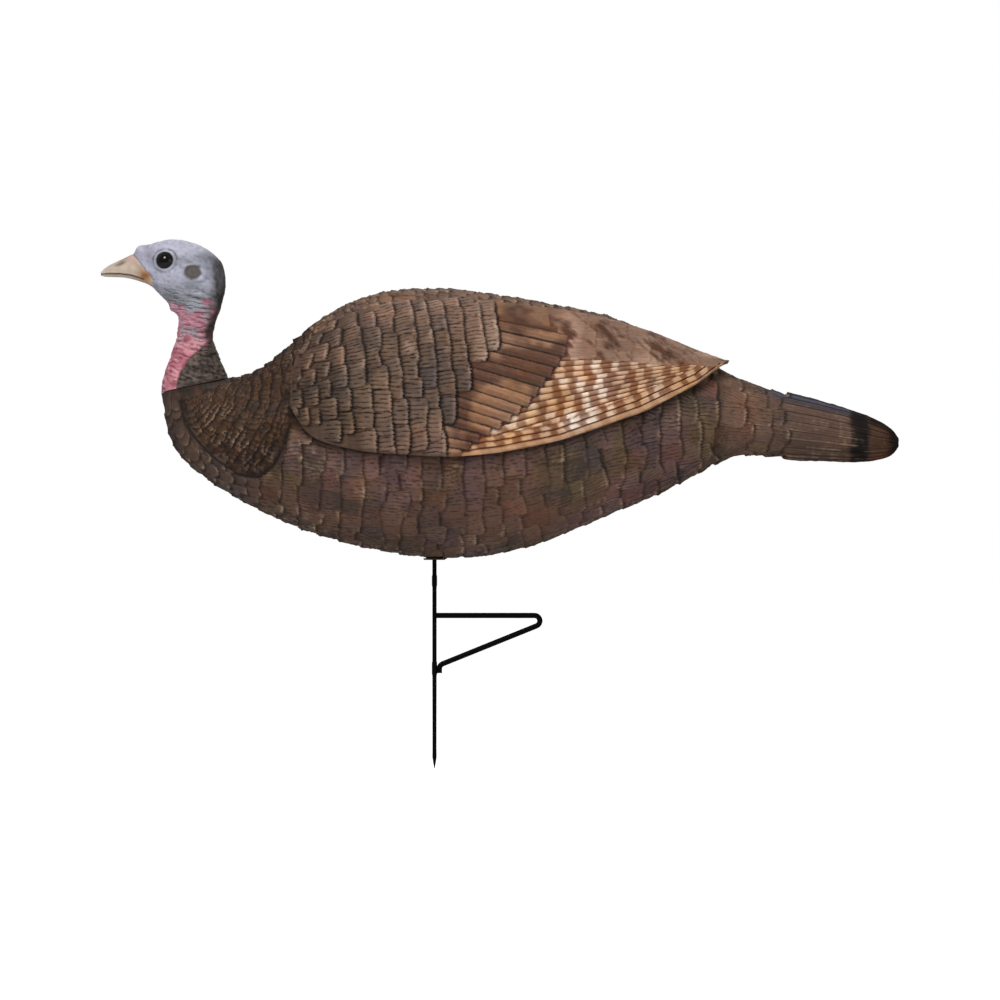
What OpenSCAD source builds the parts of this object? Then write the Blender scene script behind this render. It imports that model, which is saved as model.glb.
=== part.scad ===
// Turkey hen decoy on a step-in ground stake.
// Frame: +Z up, the beak points to -X and the bird's left side faces -Y.
// The origin is on the stake's axis, at the top of the bare spike below the foot bar.

/* [Body] */
// Length of the body, from the breast to the tip of the tail
body_length = 678; // [560:2:820]
// Depth of the body, from the belly to the top of the back
body_depth = 250; // [206:2:300]
// Width of the body across the flanks
body_width = 206; // [170:2:250]
// Height of the belly above the origin
belly_height = 109; // [80:1:150]
// Wall thickness of the moulded shells
wall = 3; // [2:0.5:4.5]

/* [Head] */
// Height of the head and neck, from the middle of the neck seam to the crown
head_height = 135.5; // [112:0.5:164]
// Length of the head, from the tip of the beak to the back of the neck
head_length = 118; // [98:1:142]
// Width of the head behind the eyes
head_width = 45.6; // [38:0.2:55]
// Length of the neck seam, from the throat to the nape
neck_base_length = 63.4; // [56:0.2:76]
// Width of the neck at the seam
neck_base_width = 58; // [53:0.5:70]
// Diameter of the eyes where they leave the head
eye_d = 14.6; // [12:0.2:17.6]
// How far the eyes stand out of the head
eye_bulge = 3.4; // [2.6:0.1:4.2]

/* [Neck joint] */
// Outer diameter of the plug that the head stands on
spigot_d = 36; // [30:0.5:40]
// Length of the plug below the seam
spigot_length = 32; // [26:1:39]
// Wall of the plug
spigot_wall = 2.5; // [2:0.25:3.5]
// Wall of the collar that takes the plug
collar_wall = 3.4; // [2.8:0.2:4.2]
// Thickness of the rubber grip ring in the collar
grip_d = 3; // [2.4:0.1:3.6]

/* [Wings] */
// How far the lower edge of a wing stands out from the body
wing_thickness = 6.5; // [5:0.5:8]
// How far the tip of a wing is lifted off the rump
wing_tip_lift = 8; // [6:0.5:10]
// Height of the feather ribs on the wings and the tail
feather_rib = 1.4; // [0.6:0.1:1.8]
// Depth of the steps between the rows of body feathers
feather_step = 1.2; // [0.4:0.1:1.6]
// Diameter of the posts that locate a wing
post_d = 7; // [5.6:0.2:8.4]
// How far a post reaches past the body's wall
post_reach = 6; // [4:1:8]

/* [Stake] */
// Diameter of the stake
stake_d = 4; // [3.4:0.2:5]
// Length of the spike below the origin
spike_length = 85; // [60:5:120]
// Length of the point of the spike
point_length = 10; // [6:1:14]
// Diameter of the rod that the foot bar is bent from
foot_rod_d = 5; // [4:0.2:6]
// Reach of the foot bar from the stake's axis
foot_reach = 100; // [80:2:120]
// Height of the tread of the foot bar
foot_height = 56; // [50:1:66]
// Slope of the lower leg of the foot bar
foot_slope = 22; // [18:1:25]
// Radius of the bends of the foot bar, on the rod's centre line
foot_bend = 5; // [4.2:0.2:6]

/* [Stake socket] */
// Outer diameter of the tube that guides the stake
tube_d = 12; // [10:0.5:14.5]
// Wall of the tube
tube_wall = 1.3; // [1:0.1:1.6]
// Diameter of the cup under the back
cup_d = 26; // [22:1:32]
// How deep the cup reaches below the shell
cup_height = 24; // [20:1:30]
// How far the tube reaches into the cup
cup_grip = 11; // [8:1:14]
// Length of the thimble on top of the stake
cap_length = 20; // [16:1:26]
// Thickness of the closed end of the thimble
cap_end = 3; // [2:0.5:4]

/* [Clearances] */
// Gap between pieces that are bonded or pressed together
bond_gap = 0.1; // [0.05:0.01:0.2]
// Radial gap between pieces that turn or slide on each other
running_gap = 0.3; // [0.1:0.05:0.4]
// Gap between the head and the body at the neck seam
seam_gap = 0.6; // [0.4:0.1:1]
// Gap between the body and the inside of a wing
wing_gap = 0.6; // [0.5:0.1:1]

/* [Hidden] */
$fn = 48;
tiny = 0.01;

// Stations of the body behind the neck seam. Each holds the outline's upper point and lower point,
// x in % of body_length from the stake, z in % of body_depth above the belly, and the half width
// in % of half of body_width.
BODY = [
    [-27.8,  67.2, -36.9, 54.1,  33],
    [-26.7,  67.8, -36.4, 46.3,  43],
    [-24.9,  69.3, -34.7, 37.8,  56],
    [-22.4,  73.3, -31.2, 29.3,  72],
    [-19.2,  80.7, -25.2, 19.6,  86],
    [-15.1,  89.6, -18.3, 10.7,  95],
    [ -9.6,  96.9, -11.3,  4.8, 100],
    [ -3.1, 100.0,  -3.6,  0.9, 100],
    [  4.3,  99.3,   4.3,  0.0,  98],
    [ 13.0,  95.9,  13.0,  4.1,  91],
    [ 21.9,  91.1,  21.9, 13.7,  79],
    [ 29.4,  84.1,  29.4, 22.2,  65],
    [ 35.5,  75.9,  35.5, 30.4,  52],
    [ 40.3,  68.1,  40.6, 37.2,  45],
    [ 46.5,  62.2,  46.5, 37.4,  41],
    [ 52.6,  57.8,  52.6, 36.7,  39],
    [ 58.0,  53.3,  58.0, 36.3,  36],
    [ 61.6,  48.5,  61.6, 38.0,  28],
    [ 63.2,  44.1,  63.2, 41.5,  15]
];
// Middle of the neck seam, in % of body_length and body_depth, and the seam's slope in degrees.
SEAM = [-32.7, 63.7];
seam_slope = 11.8;
// Stations of the head above the seam, from the neck over the crown to the tip of the beak.
// x is in % of head_length and z in % of head_height from the middle of the seam, and the half
// width is in % of half of head_width. The back of the head comes first, then the throat.
HEAD = [
    [ 22.4,  12.3, -23.9,  9.6, 112],
    [ 17.6,  22.5, -18.4, 22.5,  90],
    [ 14.2,  33.4, -13.7, 34.8,  72],
    [ 16.9,  44.4, -12.5, 45.1,  75],
    [ 21.5,  56.7, -14.5, 51.2,  86],
    [ 24.3,  69.7, -19.2, 56.0,  94],
    [ 21.5,  83.3, -24.7, 60.4, 100],
    [ 10.6,  92.8, -29.0, 63.8,  99],
    [ -5.1,  98.7, -31.8, 66.6,  90],
    [-20.8, 100.0, -34.9, 68.6,  79],
    [-33.3,  97.3, -38.1, 70.0,  64],
    [-43.5,  94.5, -42.7, 71.4,  48],
    [-47.8,  90.8, -47.5, 72.7,  40],
    [-55.3,  87.4, -55.3, 74.1,  32],
    [-64.7,  83.6, -64.7, 74.5,  22],
    [-70.9,  80.2, -70.2, 74.7,  13],
    [-73.7,  77.5, -73.7, 75.4,   5]
];
// Edges of a wing, as a body station and an angle round it: the lower edge, then the upper edge.
WING = [
    [ 5.46,  80,  5.44, 72],
    [ 6.08,  97,  5.44, 44],
    [ 6.96, 103,  6.32, 32],
    [ 7.80, 104,  7.26, 30],
    [ 8.58, 104,  8.14, 28],
    [ 9.32, 103,  8.96, 25],
    [ 9.98, 101,  9.68, 24],
    [10.62,  99, 10.36, 22],
    [11.30,  94, 11.04, 21],
    [12.06,  85, 11.82, 18],
    [12.94,  64, 12.72, 12],
    [13.50,  38, 13.40,  9],
    [13.82,  12, 13.78,  8]
];
// Wing posts: the body station and the angle that each one stands on.
POSTS = [[8.3, 72], [11.6, 66]];
// Middle of an eye: the head station, and the angle round it.
EYE = [9.58, 84];
// Line of the mouth, from its corner to the tip of the beak, in shares of the head's length and
// height, and how near to the middle its groove comes, in shares of the length and half width.
MOUTH = [[-43, 73.4], [-74, 76.2]];
MOUTH_DEPTH = [
    [-43, 24], [-55.3, 15], [-64.7, 12], [-70.9, 7], [-76, 2], [-76, 90], [-43, 90]
];

body_egg = 0.08;       // how much wider the lower half of the body is than the upper
body_segments = 40;
head_segments = 28;
rod_segments = 24;
rings_per_station = 2;
rows_per_station = 2;  // rows of body feathers
feather_overlap = 0.14; // how much further every other feather reaches, in stations
feather_end = 0.04;    // length of the step at a feather's end, in stations
body_cavity = [1.4, 18.2]; // first and last station of the hollow of the body
head_cavity = [1.15, 11.4]; // and of the hollow of the head
wing_rings = 30;
wing_ribs = 9;
tail_start = 14.6;     // station where the covert feathers end and the long quills begin
wing_fan_start = 0.36; // share of the wing where the shoulder coverts end and the quills begin
plug_grip = 20;        // how far the plug and its bore reach up into the neck
plug_bevel = 2;
crimp_height = 0.45;   // how far a swaged bead stands out of the stake
crimp_length = 12;
crimp_drop = 15;       // gap between the belly and the upper bead
bead_taper = 2;
foot_run = 4;          // straight end of the foot bar along the stake
grommet_flange = 1.6;
grommet_lip = 2.2;     // how far the flanges overlap the belly around the hole
grommet_wall = 1.9;
grommet_seat = 1;      // height of the seat of the upper flange over the wall
eye_seat = 2;          // depth of the flat back of the eye in the head
lid_width = 1.9;       // eyelids round the eye
lid_height = 1.1;
lid_root = 2.4;
mouth_gap = 0.7;
socket_gap = 0.15;

stake_r = stake_d / 2;
foot_r = foot_rod_d / 2;
tube_r = tube_d / 2;
bead_length = foot_run + foot_bend + foot_rod_d;
collar_bore = spigot_d / 2 + running_gap;
collar_r = collar_bore + collar_wall;
collar_length = spigot_length + 2;
cup_bore = tube_r + bond_gap;
grommet_hole = tube_r + bond_gap + grommet_wall;

function body_x(share) = share * body_length / 100;
function body_z(share) = belly_height + share * body_depth / 100;

seam = [body_x(SEAM[0]), 0, body_z(SEAM[1])];
seam_half = [cos(seam_slope), sin(seam_slope)] * neck_base_length / 2;

// A station in millimetres: [upper x, upper z, lower x, lower z, half width].
seam_row = [
    seam.x + seam_half[0], seam.z + seam_half[1],
    seam.x - seam_half[0], seam.z - seam_half[1], neck_base_width / 2
];
body_rows = concat([seam_row], [
    for (s = BODY)
        [body_x(s[0]), body_z(s[1]), body_x(s[2]), body_z(s[3]), s[4] / 200 * body_width]
]);
head_rows = concat([seam_row + seam_gap * [
    -sin(seam_slope), cos(seam_slope), -sin(seam_slope), cos(seam_slope), 0
]], [
    for (s = HEAD) [
        seam.x + s[0] / 100 * head_length, seam.z + s[1] / 100 * head_height,
        seam.x + s[2] / 100 * head_length, seam.z + s[3] / 100 * head_height,
        s[4] / 200 * head_width
    ]
]);

// A smooth curve through rows of numbers, read at a fractional row.
function spline(rows, u) =
    let (
        last = len(rows) - 1,
        i = min(floor(u), last - 1),
        t = u - i,
        p0 = rows[max(i - 1, 0)], p1 = rows[i],
        p2 = rows[i + 1], p3 = rows[min(i + 2, last)]
    )
    0.5 * (2 * p1 + (p2 - p0) * t + (2 * p0 - 5 * p1 + 4 * p2 - p3) * t ^ 2
        + (3 * p1 - p0 - 3 * p2 + p3) * t ^ 3);

// A point on the closed section of a station: angle 0 is its upper point and 180 its lower one.
// inset moves the section in by a wall.
function section_point(row, angle, egg, inset = 0) =
    let (
        half = [row[0] - row[2], row[1] - row[3]] / 2,
        keep = 1 - inset / norm(half)
    )
    [
        (row[0] + row[2]) / 2 + half[0] * keep * cos(angle),
        (row[4] - inset) * sin(angle) * (1 - egg * cos(angle)),
        (row[1] + row[3]) / 2 + half[1] * keep * cos(angle)
    ];
function body_point(u, angle) = section_point(spline(body_rows, u), angle, body_egg);

// Outward unit normal of the body's surface on its +Y side.
function unit(v) = v / norm(v);
function body_normal(u, angle) =
    let (step = 0.02, turn = 0.5)
    unit(cross(
        body_point(u + step, angle) - body_point(u - step, angle),
        body_point(u, angle + turn) - body_point(u, angle - turn)
    ));
function smooth(t) = let (c = max(0, min(1, t))) c * c * (3 - 2 * c);

// A closed solid through rings of points that all have the same number of points.
module loft_solid(rings) {
    n = len(rings[0]);
    last = len(rings) - 1;
    points = [for (ring = rings) for (p = ring) p];
    sides = [
        for (i = [0 : last - 1]) for (j = [0 : n - 1])
            let (a = i * n + j, b = i * n + (j + 1) % n)
            each [[a, a + n, b + n], [a, b + n, b]]
    ];
    ends = [[for (j = [0 : n - 1]) j], [for (j = [n - 1 : -1 : 0]) last * n + j]];
    polyhedron(concat(points, []), concat(sides, ends), convexity = 10);
}

// Ends of the rows of body feathers: every other feather of a row reaches further back, and the
// next row starts a step lower.
function row_end(k, j) = k / rows_per_station + feather_overlap * ((j + k) % 2);
function row_step(u) = feather_step * smooth((u - 0.6) / 1.2);
// Ribs of the tail quills: every other point round the section is raised.
function tail_rib(u, j) =
    feather_rib * (j % 2) * smooth((u - tail_start) / 0.5) * smooth((19 - u) / 2);

// The outside of the body, and the hollow inside it.
module body_outside() {
    first_row = rows_per_station;
    last_row = floor(tail_start * rows_per_station) - 1;
    last_station = len(body_rows) - 1;
    // each ring is a list of [station, how far it is sunk], one for each point round it
    flat_front = [for (u = [0 : 0.5 : 0.5]) [for (j = [0 : body_segments - 1]) [u, 0]]];
    rows = [
        for (k = [first_row : last_row]) each [
            [for (j = [0 : body_segments - 1])
                let (u = row_end(k, j)) [u, row_step(u)]],
            [for (j = [0 : body_segments - 1]) [row_end(k + 1, j) - feather_end, 0]]
        ]
    ];
    tail_first = ceil((last_row + 1) / rows_per_station + feather_overlap);
    tail = [
        for (u = [tail_first : 1 / rings_per_station : last_station])
            [for (j = [0 : body_segments - 1]) [u, -tail_rib(u, j)]]
    ];
    loft_solid([
        for (ring = concat(flat_front, rows, tail)) [
            for (j = [0 : body_segments - 1])
                section_point(
                    spline(body_rows, ring[j][0]), -360 * j / body_segments, body_egg,
                    ring[j][1]
                )
        ]
    ]);
}
module body_hollow(skin) {
    loft_solid([
        for (u = [body_cavity[0] : 0.7 : body_cavity[1]])
            [
                for (j = [0 : body_segments / 2 - 1])
                    section_point(
                        spline(body_rows, u), -720 * j / body_segments, body_egg, skin
                    )
            ]
    ]);
}

// Places its children with Z along the neck's axis and the seam's middle at the origin.
module at_seam() {
    translate(seam) rotate([0, -seam_slope, 0]) children();
}

// Places its children at each wing post, with Z pointing out of the body, towards +Y.
module at_posts() {
    for (p = POSTS) {
        at = body_point(p[0], p[1]);
        translate(at) rotate([-90, 0, 0]) children();
    }
}

module body_shell() {
    color("#5a4638") difference() {
        body_outside();
        body_hollow(wall + feather_step);
        at_seam() translate([0, 0, -collar_length - 20])
            cylinder(h = collar_length + 25, r = collar_r + bond_gap);
        translate([0, 0, belly_height - 10])
            cylinder(h = wall + 20, r = grommet_hole + bond_gap);
        // flat face inside that the upper flange of the grommet lies on
        translate([0, 0, belly_z + wall + grommet_seat - bond_gap])
            cylinder(h = 12, r = grommet_hole + grommet_lip + running_gap);
        for (side = [0, 1]) mirror([0, side, 0])
            at_posts() translate([0, 0, -wall - post_reach - 4])
                cylinder(h = wall + post_reach + 12, r = post_d / 2 + bond_gap);
    }
}

// Thickness of a wing over the body: t runs from 0 at its nose to 1 at its tip, and v from 0 at
// its lower edge to 1 at its upper edge.
function wing_build(t, v) =
    (0.45 + 0.55 * smooth(t / 0.15)) * (0.5 + 0.5 * smooth((1 - t) / 0.2)) * wing_thickness
        * (1 - 0.65 * smooth(v));
function wing_lift(t) = wing_gap + wing_tip_lift * smooth((t - 0.8) / 0.2);
// Ribs run along the quills behind the shoulder and across the coverts on it.
function wing_rib(t, i, j) =
    let (quills = smooth((t - wing_fan_start) / 0.06), ends = smooth((0.97 - t) / 0.06))
    feather_rib * ends * (quills * (j % 2) + (1 - quills) * 0.7 * (i % 2));
// A point on the wing: v across from edge to edge, raised off the body by lift.
function wing_point(edge, v, lift) =
    let (u = edge[0] + (edge[2] - edge[0]) * v, angle = edge[1] + (edge[3] - edge[1]) * v)
    body_point(u, angle) + body_normal(u, angle) * lift;

module wing() {
    columns = 2 * wing_ribs;
    rings = [
        for (i = [0 : wing_rings])
            let (t = i / wing_rings, edge = spline(WING, t * (len(WING) - 1)))
            concat(
                [
                    for (j = [0 : columns])
                        let (v = j / columns)
                        wing_point(edge, v, wing_lift(t) + wing_build(t, v)
                            + (j == 0 || j == columns ? 0 : wing_rib(t, i, j)))
                ],
                [
                    for (j = [columns : -2 : 0])
                        wing_point(edge, j / columns, wing_lift(t))
                ]
            )
    ];
    color("#8a6a4c") union() {
        loft_solid(rings);
        at_posts() translate([0, 0, -wall - post_reach])
            cylinder(h = wall + post_reach + wing_gap + 2, d = post_d);
    }
}
module right_wing() wing();
module left_wing() mirror([0, 1, 0]) wing();

module head_outside() {
    steps = rings_per_station * (len(head_rows) - 1);
    loft_solid([
        for (i = [0 : steps]) [
            for (j = [0 : head_segments - 1])
                section_point(
                    spline(head_rows, i / rings_per_station), 360 * j / head_segments, 0
                )
        ]
    ]);
}
module head_hollow() {
    loft_solid([
        for (u = [head_cavity[0] : 0.7 : head_cavity[1]]) [
            for (j = [0 : head_segments / 2 - 1])
                section_point(spline(head_rows, u), 720 * j / head_segments, 0, wall)
        ]
    ]);
}

// The eye is a cap of a ball. Its middle lies under the surface of the head, on the normal.
eye_ball_r = ((eye_d / 2) ^ 2 + eye_bulge ^ 2) / (2 * eye_bulge);
eye_sink = eye_ball_r - eye_bulge;
function head_point(u, angle) = section_point(spline(head_rows, u), angle, 0);
function head_point_at(share) =
    [seam.x + share[0] / 100 * head_length, 0, seam.z + share[1] / 100 * head_height];
eye_surface = head_point(EYE[0], EYE[1]);
eye_facing = unit(cross(
    head_point(EYE[0], EYE[1] + 2) - head_point(EYE[0], EYE[1] - 2),
    head_point(EYE[0] + 0.1, EYE[1]) - head_point(EYE[0] - 0.1, EYE[1])
));
// Places its children at the middle of the ball, with Z along the way that the eye faces.
module at_eye() {
    translate(eye_surface - eye_sink * eye_facing)
        rotate([0, acos(eye_facing.z), atan2(eye_facing.y, eye_facing.x)]) children();
}
module eye_cap(gap) {
    seat = eye_sink - eye_seat - gap;
    intersection() {
        sphere(r = eye_ball_r + gap);
        translate([0, 0, seat]) cylinder(h = eye_ball_r * 2, r = eye_ball_r * 2);
    }
}

module right_eye() {
    color("#15110f") at_eye() eye_cap(0);
}
module left_eye() mirror([0, 1, 0]) right_eye();

// The eyelids: a raised ring that closes a little over the edge of the eye.
module eyelids() {
    low = eye_sink - lid_root;
    top = eye_sink + lid_height;
    lid_r = eye_d / 2 + lid_width;
    rotate_extrude() polygon([
        [lid_r / 2, low], [lid_r, low], [lid_r, top - lid_height],
        [lid_r - lid_height / 2, top], [lid_r / 2, top]
    ]);
}
// Groove between the two halves of the beak, cut in from each side along the line of the mouth.
module mouth_groove() {
    corner = head_point_at(MOUTH[0]);
    tip = head_point_at(MOUTH[1]);
    slope = atan2(tip.z - corner.z, corner.x - tip.x);
    translate(corner) rotate([0, slope, 0]) for (side = [0, 1]) mirror([0, side, 0])
        translate([0, 0, -mouth_gap / 2]) linear_extrude(height = mouth_gap) polygon([
            for (p = MOUTH_DEPTH)
                [(p[0] - MOUTH[0][0]) / 100 * head_length, p[1] / 200 * head_width]
        ]);
}

module head_shell() {
    color("#a9a9b4") difference() {
        union() {
            head_outside();
            for (side = [0, 1]) mirror([0, side, 0]) at_eye() eyelids();
        }
        mouth_groove();
        head_hollow();
        at_seam() translate([0, 0, -1])
            cylinder(h = plug_grip + seam_gap + 2, d = spigot_d + 2 * bond_gap);
        for (side = [0, 1]) mirror([0, side, 0]) at_eye() eye_cap(socket_gap);
    }
}

// The plug that is bonded in the neck and stands in the collar.
module neck_spigot() {
    inner = spigot_d / 2 - spigot_wall;
    color("#2d2b2a") at_seam() rotate_extrude() polygon([
        [inner, -spigot_length], [spigot_d / 2 - plug_bevel / 2, -spigot_length],
        [spigot_d / 2, -spigot_length + plug_bevel],
        [spigot_d / 2, plug_grip + seam_gap], [inner, plug_grip + seam_gap]
    ]);
}

// The sleeve that is bonded in the neck opening, with a groove for the grip ring.
grip_level = -spigot_length * 0.35;
module neck_collar() {
    groove_r = collar_bore + grip_d;
    color("#3a3633") at_seam() rotate_extrude() polygon([
        [collar_bore, -collar_length], [collar_r, -collar_length], [collar_r, -seam_gap],
        [collar_bore + 1, -seam_gap], [collar_bore, -seam_gap - 1],
        [collar_bore, grip_level + grip_d / 2 + bond_gap],
        [groove_r, grip_level + grip_d / 2 + bond_gap],
        [groove_r, grip_level - grip_d / 2 - bond_gap],
        [collar_bore, grip_level - grip_d / 2 - bond_gap]
    ]);
}
module grip_ring() {
    color("#1b1b1b") at_seam() translate([0, 0, grip_level]) rotate_extrude()
        translate([(spigot_d + running_gap + grip_d) / 2, 0]) circle(d = grip_d, $fn = 24);
}

// Height of the body's outline over the stake, found between the two stations beside it.
function outline_z(rows, side) =
    let (
        i = [for (k = [0 : len(rows) - 2])
            if (rows[k][side] <= 0 && rows[k + 1][side] > 0) k][0],
        t = (0 - rows[i][side]) / (rows[i + 1][side] - rows[i][side])
    )
    spline(rows, i + t)[side + 1];
belly_z = outline_z(body_rows, 2);
back_z = outline_z(body_rows, 0);
cup_top = back_z - wall + 1;
cup_mouth = back_z - wall - cup_height;
cup_floor = cup_mouth + cup_grip;
stake_top = cup_floor - cap_end - 2 * bond_gap;

module back_cup() {
    color("#3a3633") difference() {
        intersection() {
            translate([0, 0, cup_mouth]) cylinder(h = cup_top - cup_mouth, d = cup_d);
            body_hollow(wall + feather_step + bond_gap);
        }
        translate([0, 0, cup_mouth - 1]) cylinder(h = cup_grip + 1, r = cup_bore);
    }
}
module stake_tube() {
    color("#d9d6cc") translate([0, 0, belly_z - grommet_flange]) difference() {
        cylinder(h = cup_floor - bond_gap - belly_z + grommet_flange, r = tube_r);
        translate([0, 0, -1])
            cylinder(h = cup_floor - belly_z + grommet_flange + 2, r = tube_r - tube_wall);
    }
}
// A ring that clips into the belly: flange below, groove in the wall, flange above.
module belly_grommet() {
    neck = grommet_hole;
    lip = grommet_hole + grommet_lip;
    top = wall + grommet_seat;
    color("#1b1b1b") translate([0, 0, belly_z]) rotate_extrude() polygon([
        [tube_r + bond_gap, -grommet_flange], [lip - 0.6, -grommet_flange],
        [lip, -grommet_flange + 0.6], [lip, -bond_gap], [neck, -bond_gap],
        [neck, top], [lip, top], [neck, top + grommet_flange],
        [tube_r + bond_gap, top + grommet_flange]
    ]);
}

// Thimble that turns on the stake's end, under the floor of the cup.
module stake_cap() {
    outer = tube_r - tube_wall - running_gap;
    color("#2b2b2b") translate([0, 0, stake_top + bond_gap + cap_end]) rotate_extrude() polygon([
        [0, 0], [outer - 1, 0], [outer, -1], [outer, -cap_length],
        [stake_r + bond_gap, -cap_length], [stake_r + bond_gap, -cap_end], [0, -cap_end]
    ]);
}

// A swaged bead round the stake, from z = 0 down.
module bead(length) {
    rotate_extrude() polygon([
        [0, 0], [stake_r, 0], [stake_r + crimp_height, -bead_taper],
        [stake_r + crimp_height, -length + bead_taper], [stake_r, -length], [0, -length]
    ]);
}
module ground_stake() {
    color("#161616") union() {
        translate([0, 0, point_length - spike_length])
            cylinder(h = stake_top - 1 + spike_length - point_length, r = stake_r);
        translate([0, 0, stake_top - 1]) cylinder(h = 1, r1 = stake_r, r2 = stake_r - 0.8);
        translate([0, 0, -spike_length])
            cylinder(h = point_length, r1 = 0.5, r2 = stake_r);
        translate([0, 0, bead_length]) bead(bead_length);
        translate([0, 0, belly_z - crimp_drop]) bead(crimp_length);
    }
}

// A round rod of the foot bar swept along points [x, z] in the bird's middle plane.
module swept_rod(path) {
    last = len(path) - 1;
    loft_solid([
        for (i = [0 : last])
            let (
                way = unit(path[min(i + 1, last)] - path[max(i - 1, 0)]),
                side = [-way[1], way[0]]
            )
            [
                for (j = [0 : rod_segments - 1])
                    let (a = 360 * j / rod_segments, p = path[i] + foot_r * cos(a) * side)
                    [p[0], foot_r * sin(a), p[1]]
            ]
    ]);
}

// The foot bar: a level tread, a tight bend, a sloping leg, and an end laid along the stake.
module foot_bar() {
    bend_at = [foot_reach - foot_r - foot_bend, foot_height - foot_bend];
    lead_x = stake_r + foot_r;
    // where the sloping leg leaves the outer bend, and the centre of the bend beside the stake
    leave = bend_at + foot_bend * [sin(foot_slope), -cos(foot_slope)];
    run = leave[0] - lead_x - foot_bend + foot_bend * sin(foot_slope);
    lead_at = [
        lead_x + foot_bend,
        leave[1] - run * tan(foot_slope) - foot_bend * cos(foot_slope)
    ];
    outer_turn = 180 - foot_slope;
    lead_turn = 90 - foot_slope;
    path = concat(
        [[0, foot_height]],
        [for (k = [0 : 10]) let (a = 90 - outer_turn * k / 10)
            bend_at + foot_bend * [cos(a), sin(a)]],
        [for (k = [0 : 5]) let (a = 180 - lead_turn * (1 - k / 5))
            lead_at + foot_bend * [cos(a), sin(a)]],
        [[lead_x, lead_at[1] - foot_run]]
    );
    color("#1a1a1a") difference() {
        swept_rod(path);
        translate([0, 0, foot_height - 20]) cylinder(h = 40, r = stake_r);
        translate([0, 0, bead_length]) bead(bead_length);
    }
}

ground_stake();
foot_bar();
stake_cap();
body_shell();
left_wing();
right_wing();
belly_grommet();
stake_tube();
back_cup();
neck_collar();
grip_ring();
head_shell();
neck_spigot();
left_eye();
right_eye();
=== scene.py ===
import math

import bmesh
import bpy
import numpy as np
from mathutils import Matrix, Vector


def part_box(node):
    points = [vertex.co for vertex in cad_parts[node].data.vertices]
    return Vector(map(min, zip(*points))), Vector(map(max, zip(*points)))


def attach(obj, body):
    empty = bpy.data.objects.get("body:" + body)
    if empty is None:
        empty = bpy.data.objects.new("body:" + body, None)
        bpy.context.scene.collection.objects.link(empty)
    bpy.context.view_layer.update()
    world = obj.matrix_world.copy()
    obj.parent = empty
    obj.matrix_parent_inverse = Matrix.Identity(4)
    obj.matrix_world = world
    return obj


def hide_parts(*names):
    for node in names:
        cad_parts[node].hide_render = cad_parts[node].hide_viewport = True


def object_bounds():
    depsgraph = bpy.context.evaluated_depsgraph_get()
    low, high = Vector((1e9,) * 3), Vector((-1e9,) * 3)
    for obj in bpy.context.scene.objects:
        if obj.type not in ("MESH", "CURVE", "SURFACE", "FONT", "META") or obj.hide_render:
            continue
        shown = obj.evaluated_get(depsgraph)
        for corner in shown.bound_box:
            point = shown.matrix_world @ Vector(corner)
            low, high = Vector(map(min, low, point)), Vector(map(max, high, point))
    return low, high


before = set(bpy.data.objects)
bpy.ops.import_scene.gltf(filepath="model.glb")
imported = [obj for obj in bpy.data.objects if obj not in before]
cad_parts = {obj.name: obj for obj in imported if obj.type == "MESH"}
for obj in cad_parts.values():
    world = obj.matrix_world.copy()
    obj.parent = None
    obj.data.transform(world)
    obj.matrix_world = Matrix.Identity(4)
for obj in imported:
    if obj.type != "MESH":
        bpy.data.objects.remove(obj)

CAD_BOX = [list(c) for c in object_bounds()]
MM = 0.001
rng = np.random.default_rng(41)

# ---------------------------------------------------------------- stations of the moulded forms
# upper x, upper z, lower x, lower z, width: shares of the form's length, depth and width
BODY = np.array([
    [-28.1, 66.5, -37.3, 60.9, 28.2],
    [-27.8, 67.2, -36.9, 54.1, 33],
    [-26.7, 67.8, -36.4, 46.3, 43],
    [-24.9, 69.3, -34.7, 37.8, 56],
    [-22.4, 73.3, -31.2, 29.3, 72],
    [-19.2, 80.7, -25.2, 19.6, 86],
    [-15.1, 89.6, -18.3, 10.7, 95],
    [-9.6, 96.9, -11.3, 4.8, 100],
    [-3.1, 100.0, -3.6, 0.9, 100],
    [4.3, 99.3, 4.3, 0.0, 98],
    [13.0, 95.9, 13.0, 4.1, 91],
    [21.9, 91.1, 21.9, 13.7, 79],
    [29.4, 84.1, 29.4, 22.2, 65],
    [35.5, 75.9, 35.5, 30.4, 52],
    [40.3, 68.1, 40.6, 37.2, 45],
    [46.5, 62.2, 46.5, 37.4, 41],
    [52.6, 57.8, 52.6, 36.7, 39],
    [58.0, 53.3, 58.0, 36.3, 36],
    [61.6, 48.5, 61.6, 38.0, 28],
    [63.2, 44.1, 63.2, 41.5, 15],
])
HEAD = np.array([
    [22.4, 12.3, -23.9, 9.6, 112],
    [17.6, 22.5, -18.4, 22.5, 90],
    [14.2, 33.4, -13.7, 34.8, 72],
    [16.9, 44.4, -12.5, 45.1, 75],
    [21.5, 56.7, -14.5, 51.2, 86],
    [24.3, 69.7, -19.2, 56.0, 94],
    [21.5, 83.3, -24.7, 60.4, 100],
    [10.6, 92.8, -29.0, 63.8, 99],
    [-5.1, 98.7, -31.8, 66.6, 90],
    [-20.8, 100.0, -34.9, 68.6, 79],
    [-33.3, 97.3, -38.1, 70.0, 64],
    [-43.5, 94.5, -42.7, 71.4, 48],
    [-47.8, 90.8, -47.5, 72.7, 40],
    [-55.3, 87.4, -55.3, 74.1, 32],
    [-64.7, 83.6, -64.7, 74.5, 22],
    [-70.9, 80.2, -70.2, 74.7, 13],
    [-73.7, 77.5, -73.7, 75.4, 5],
])
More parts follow.
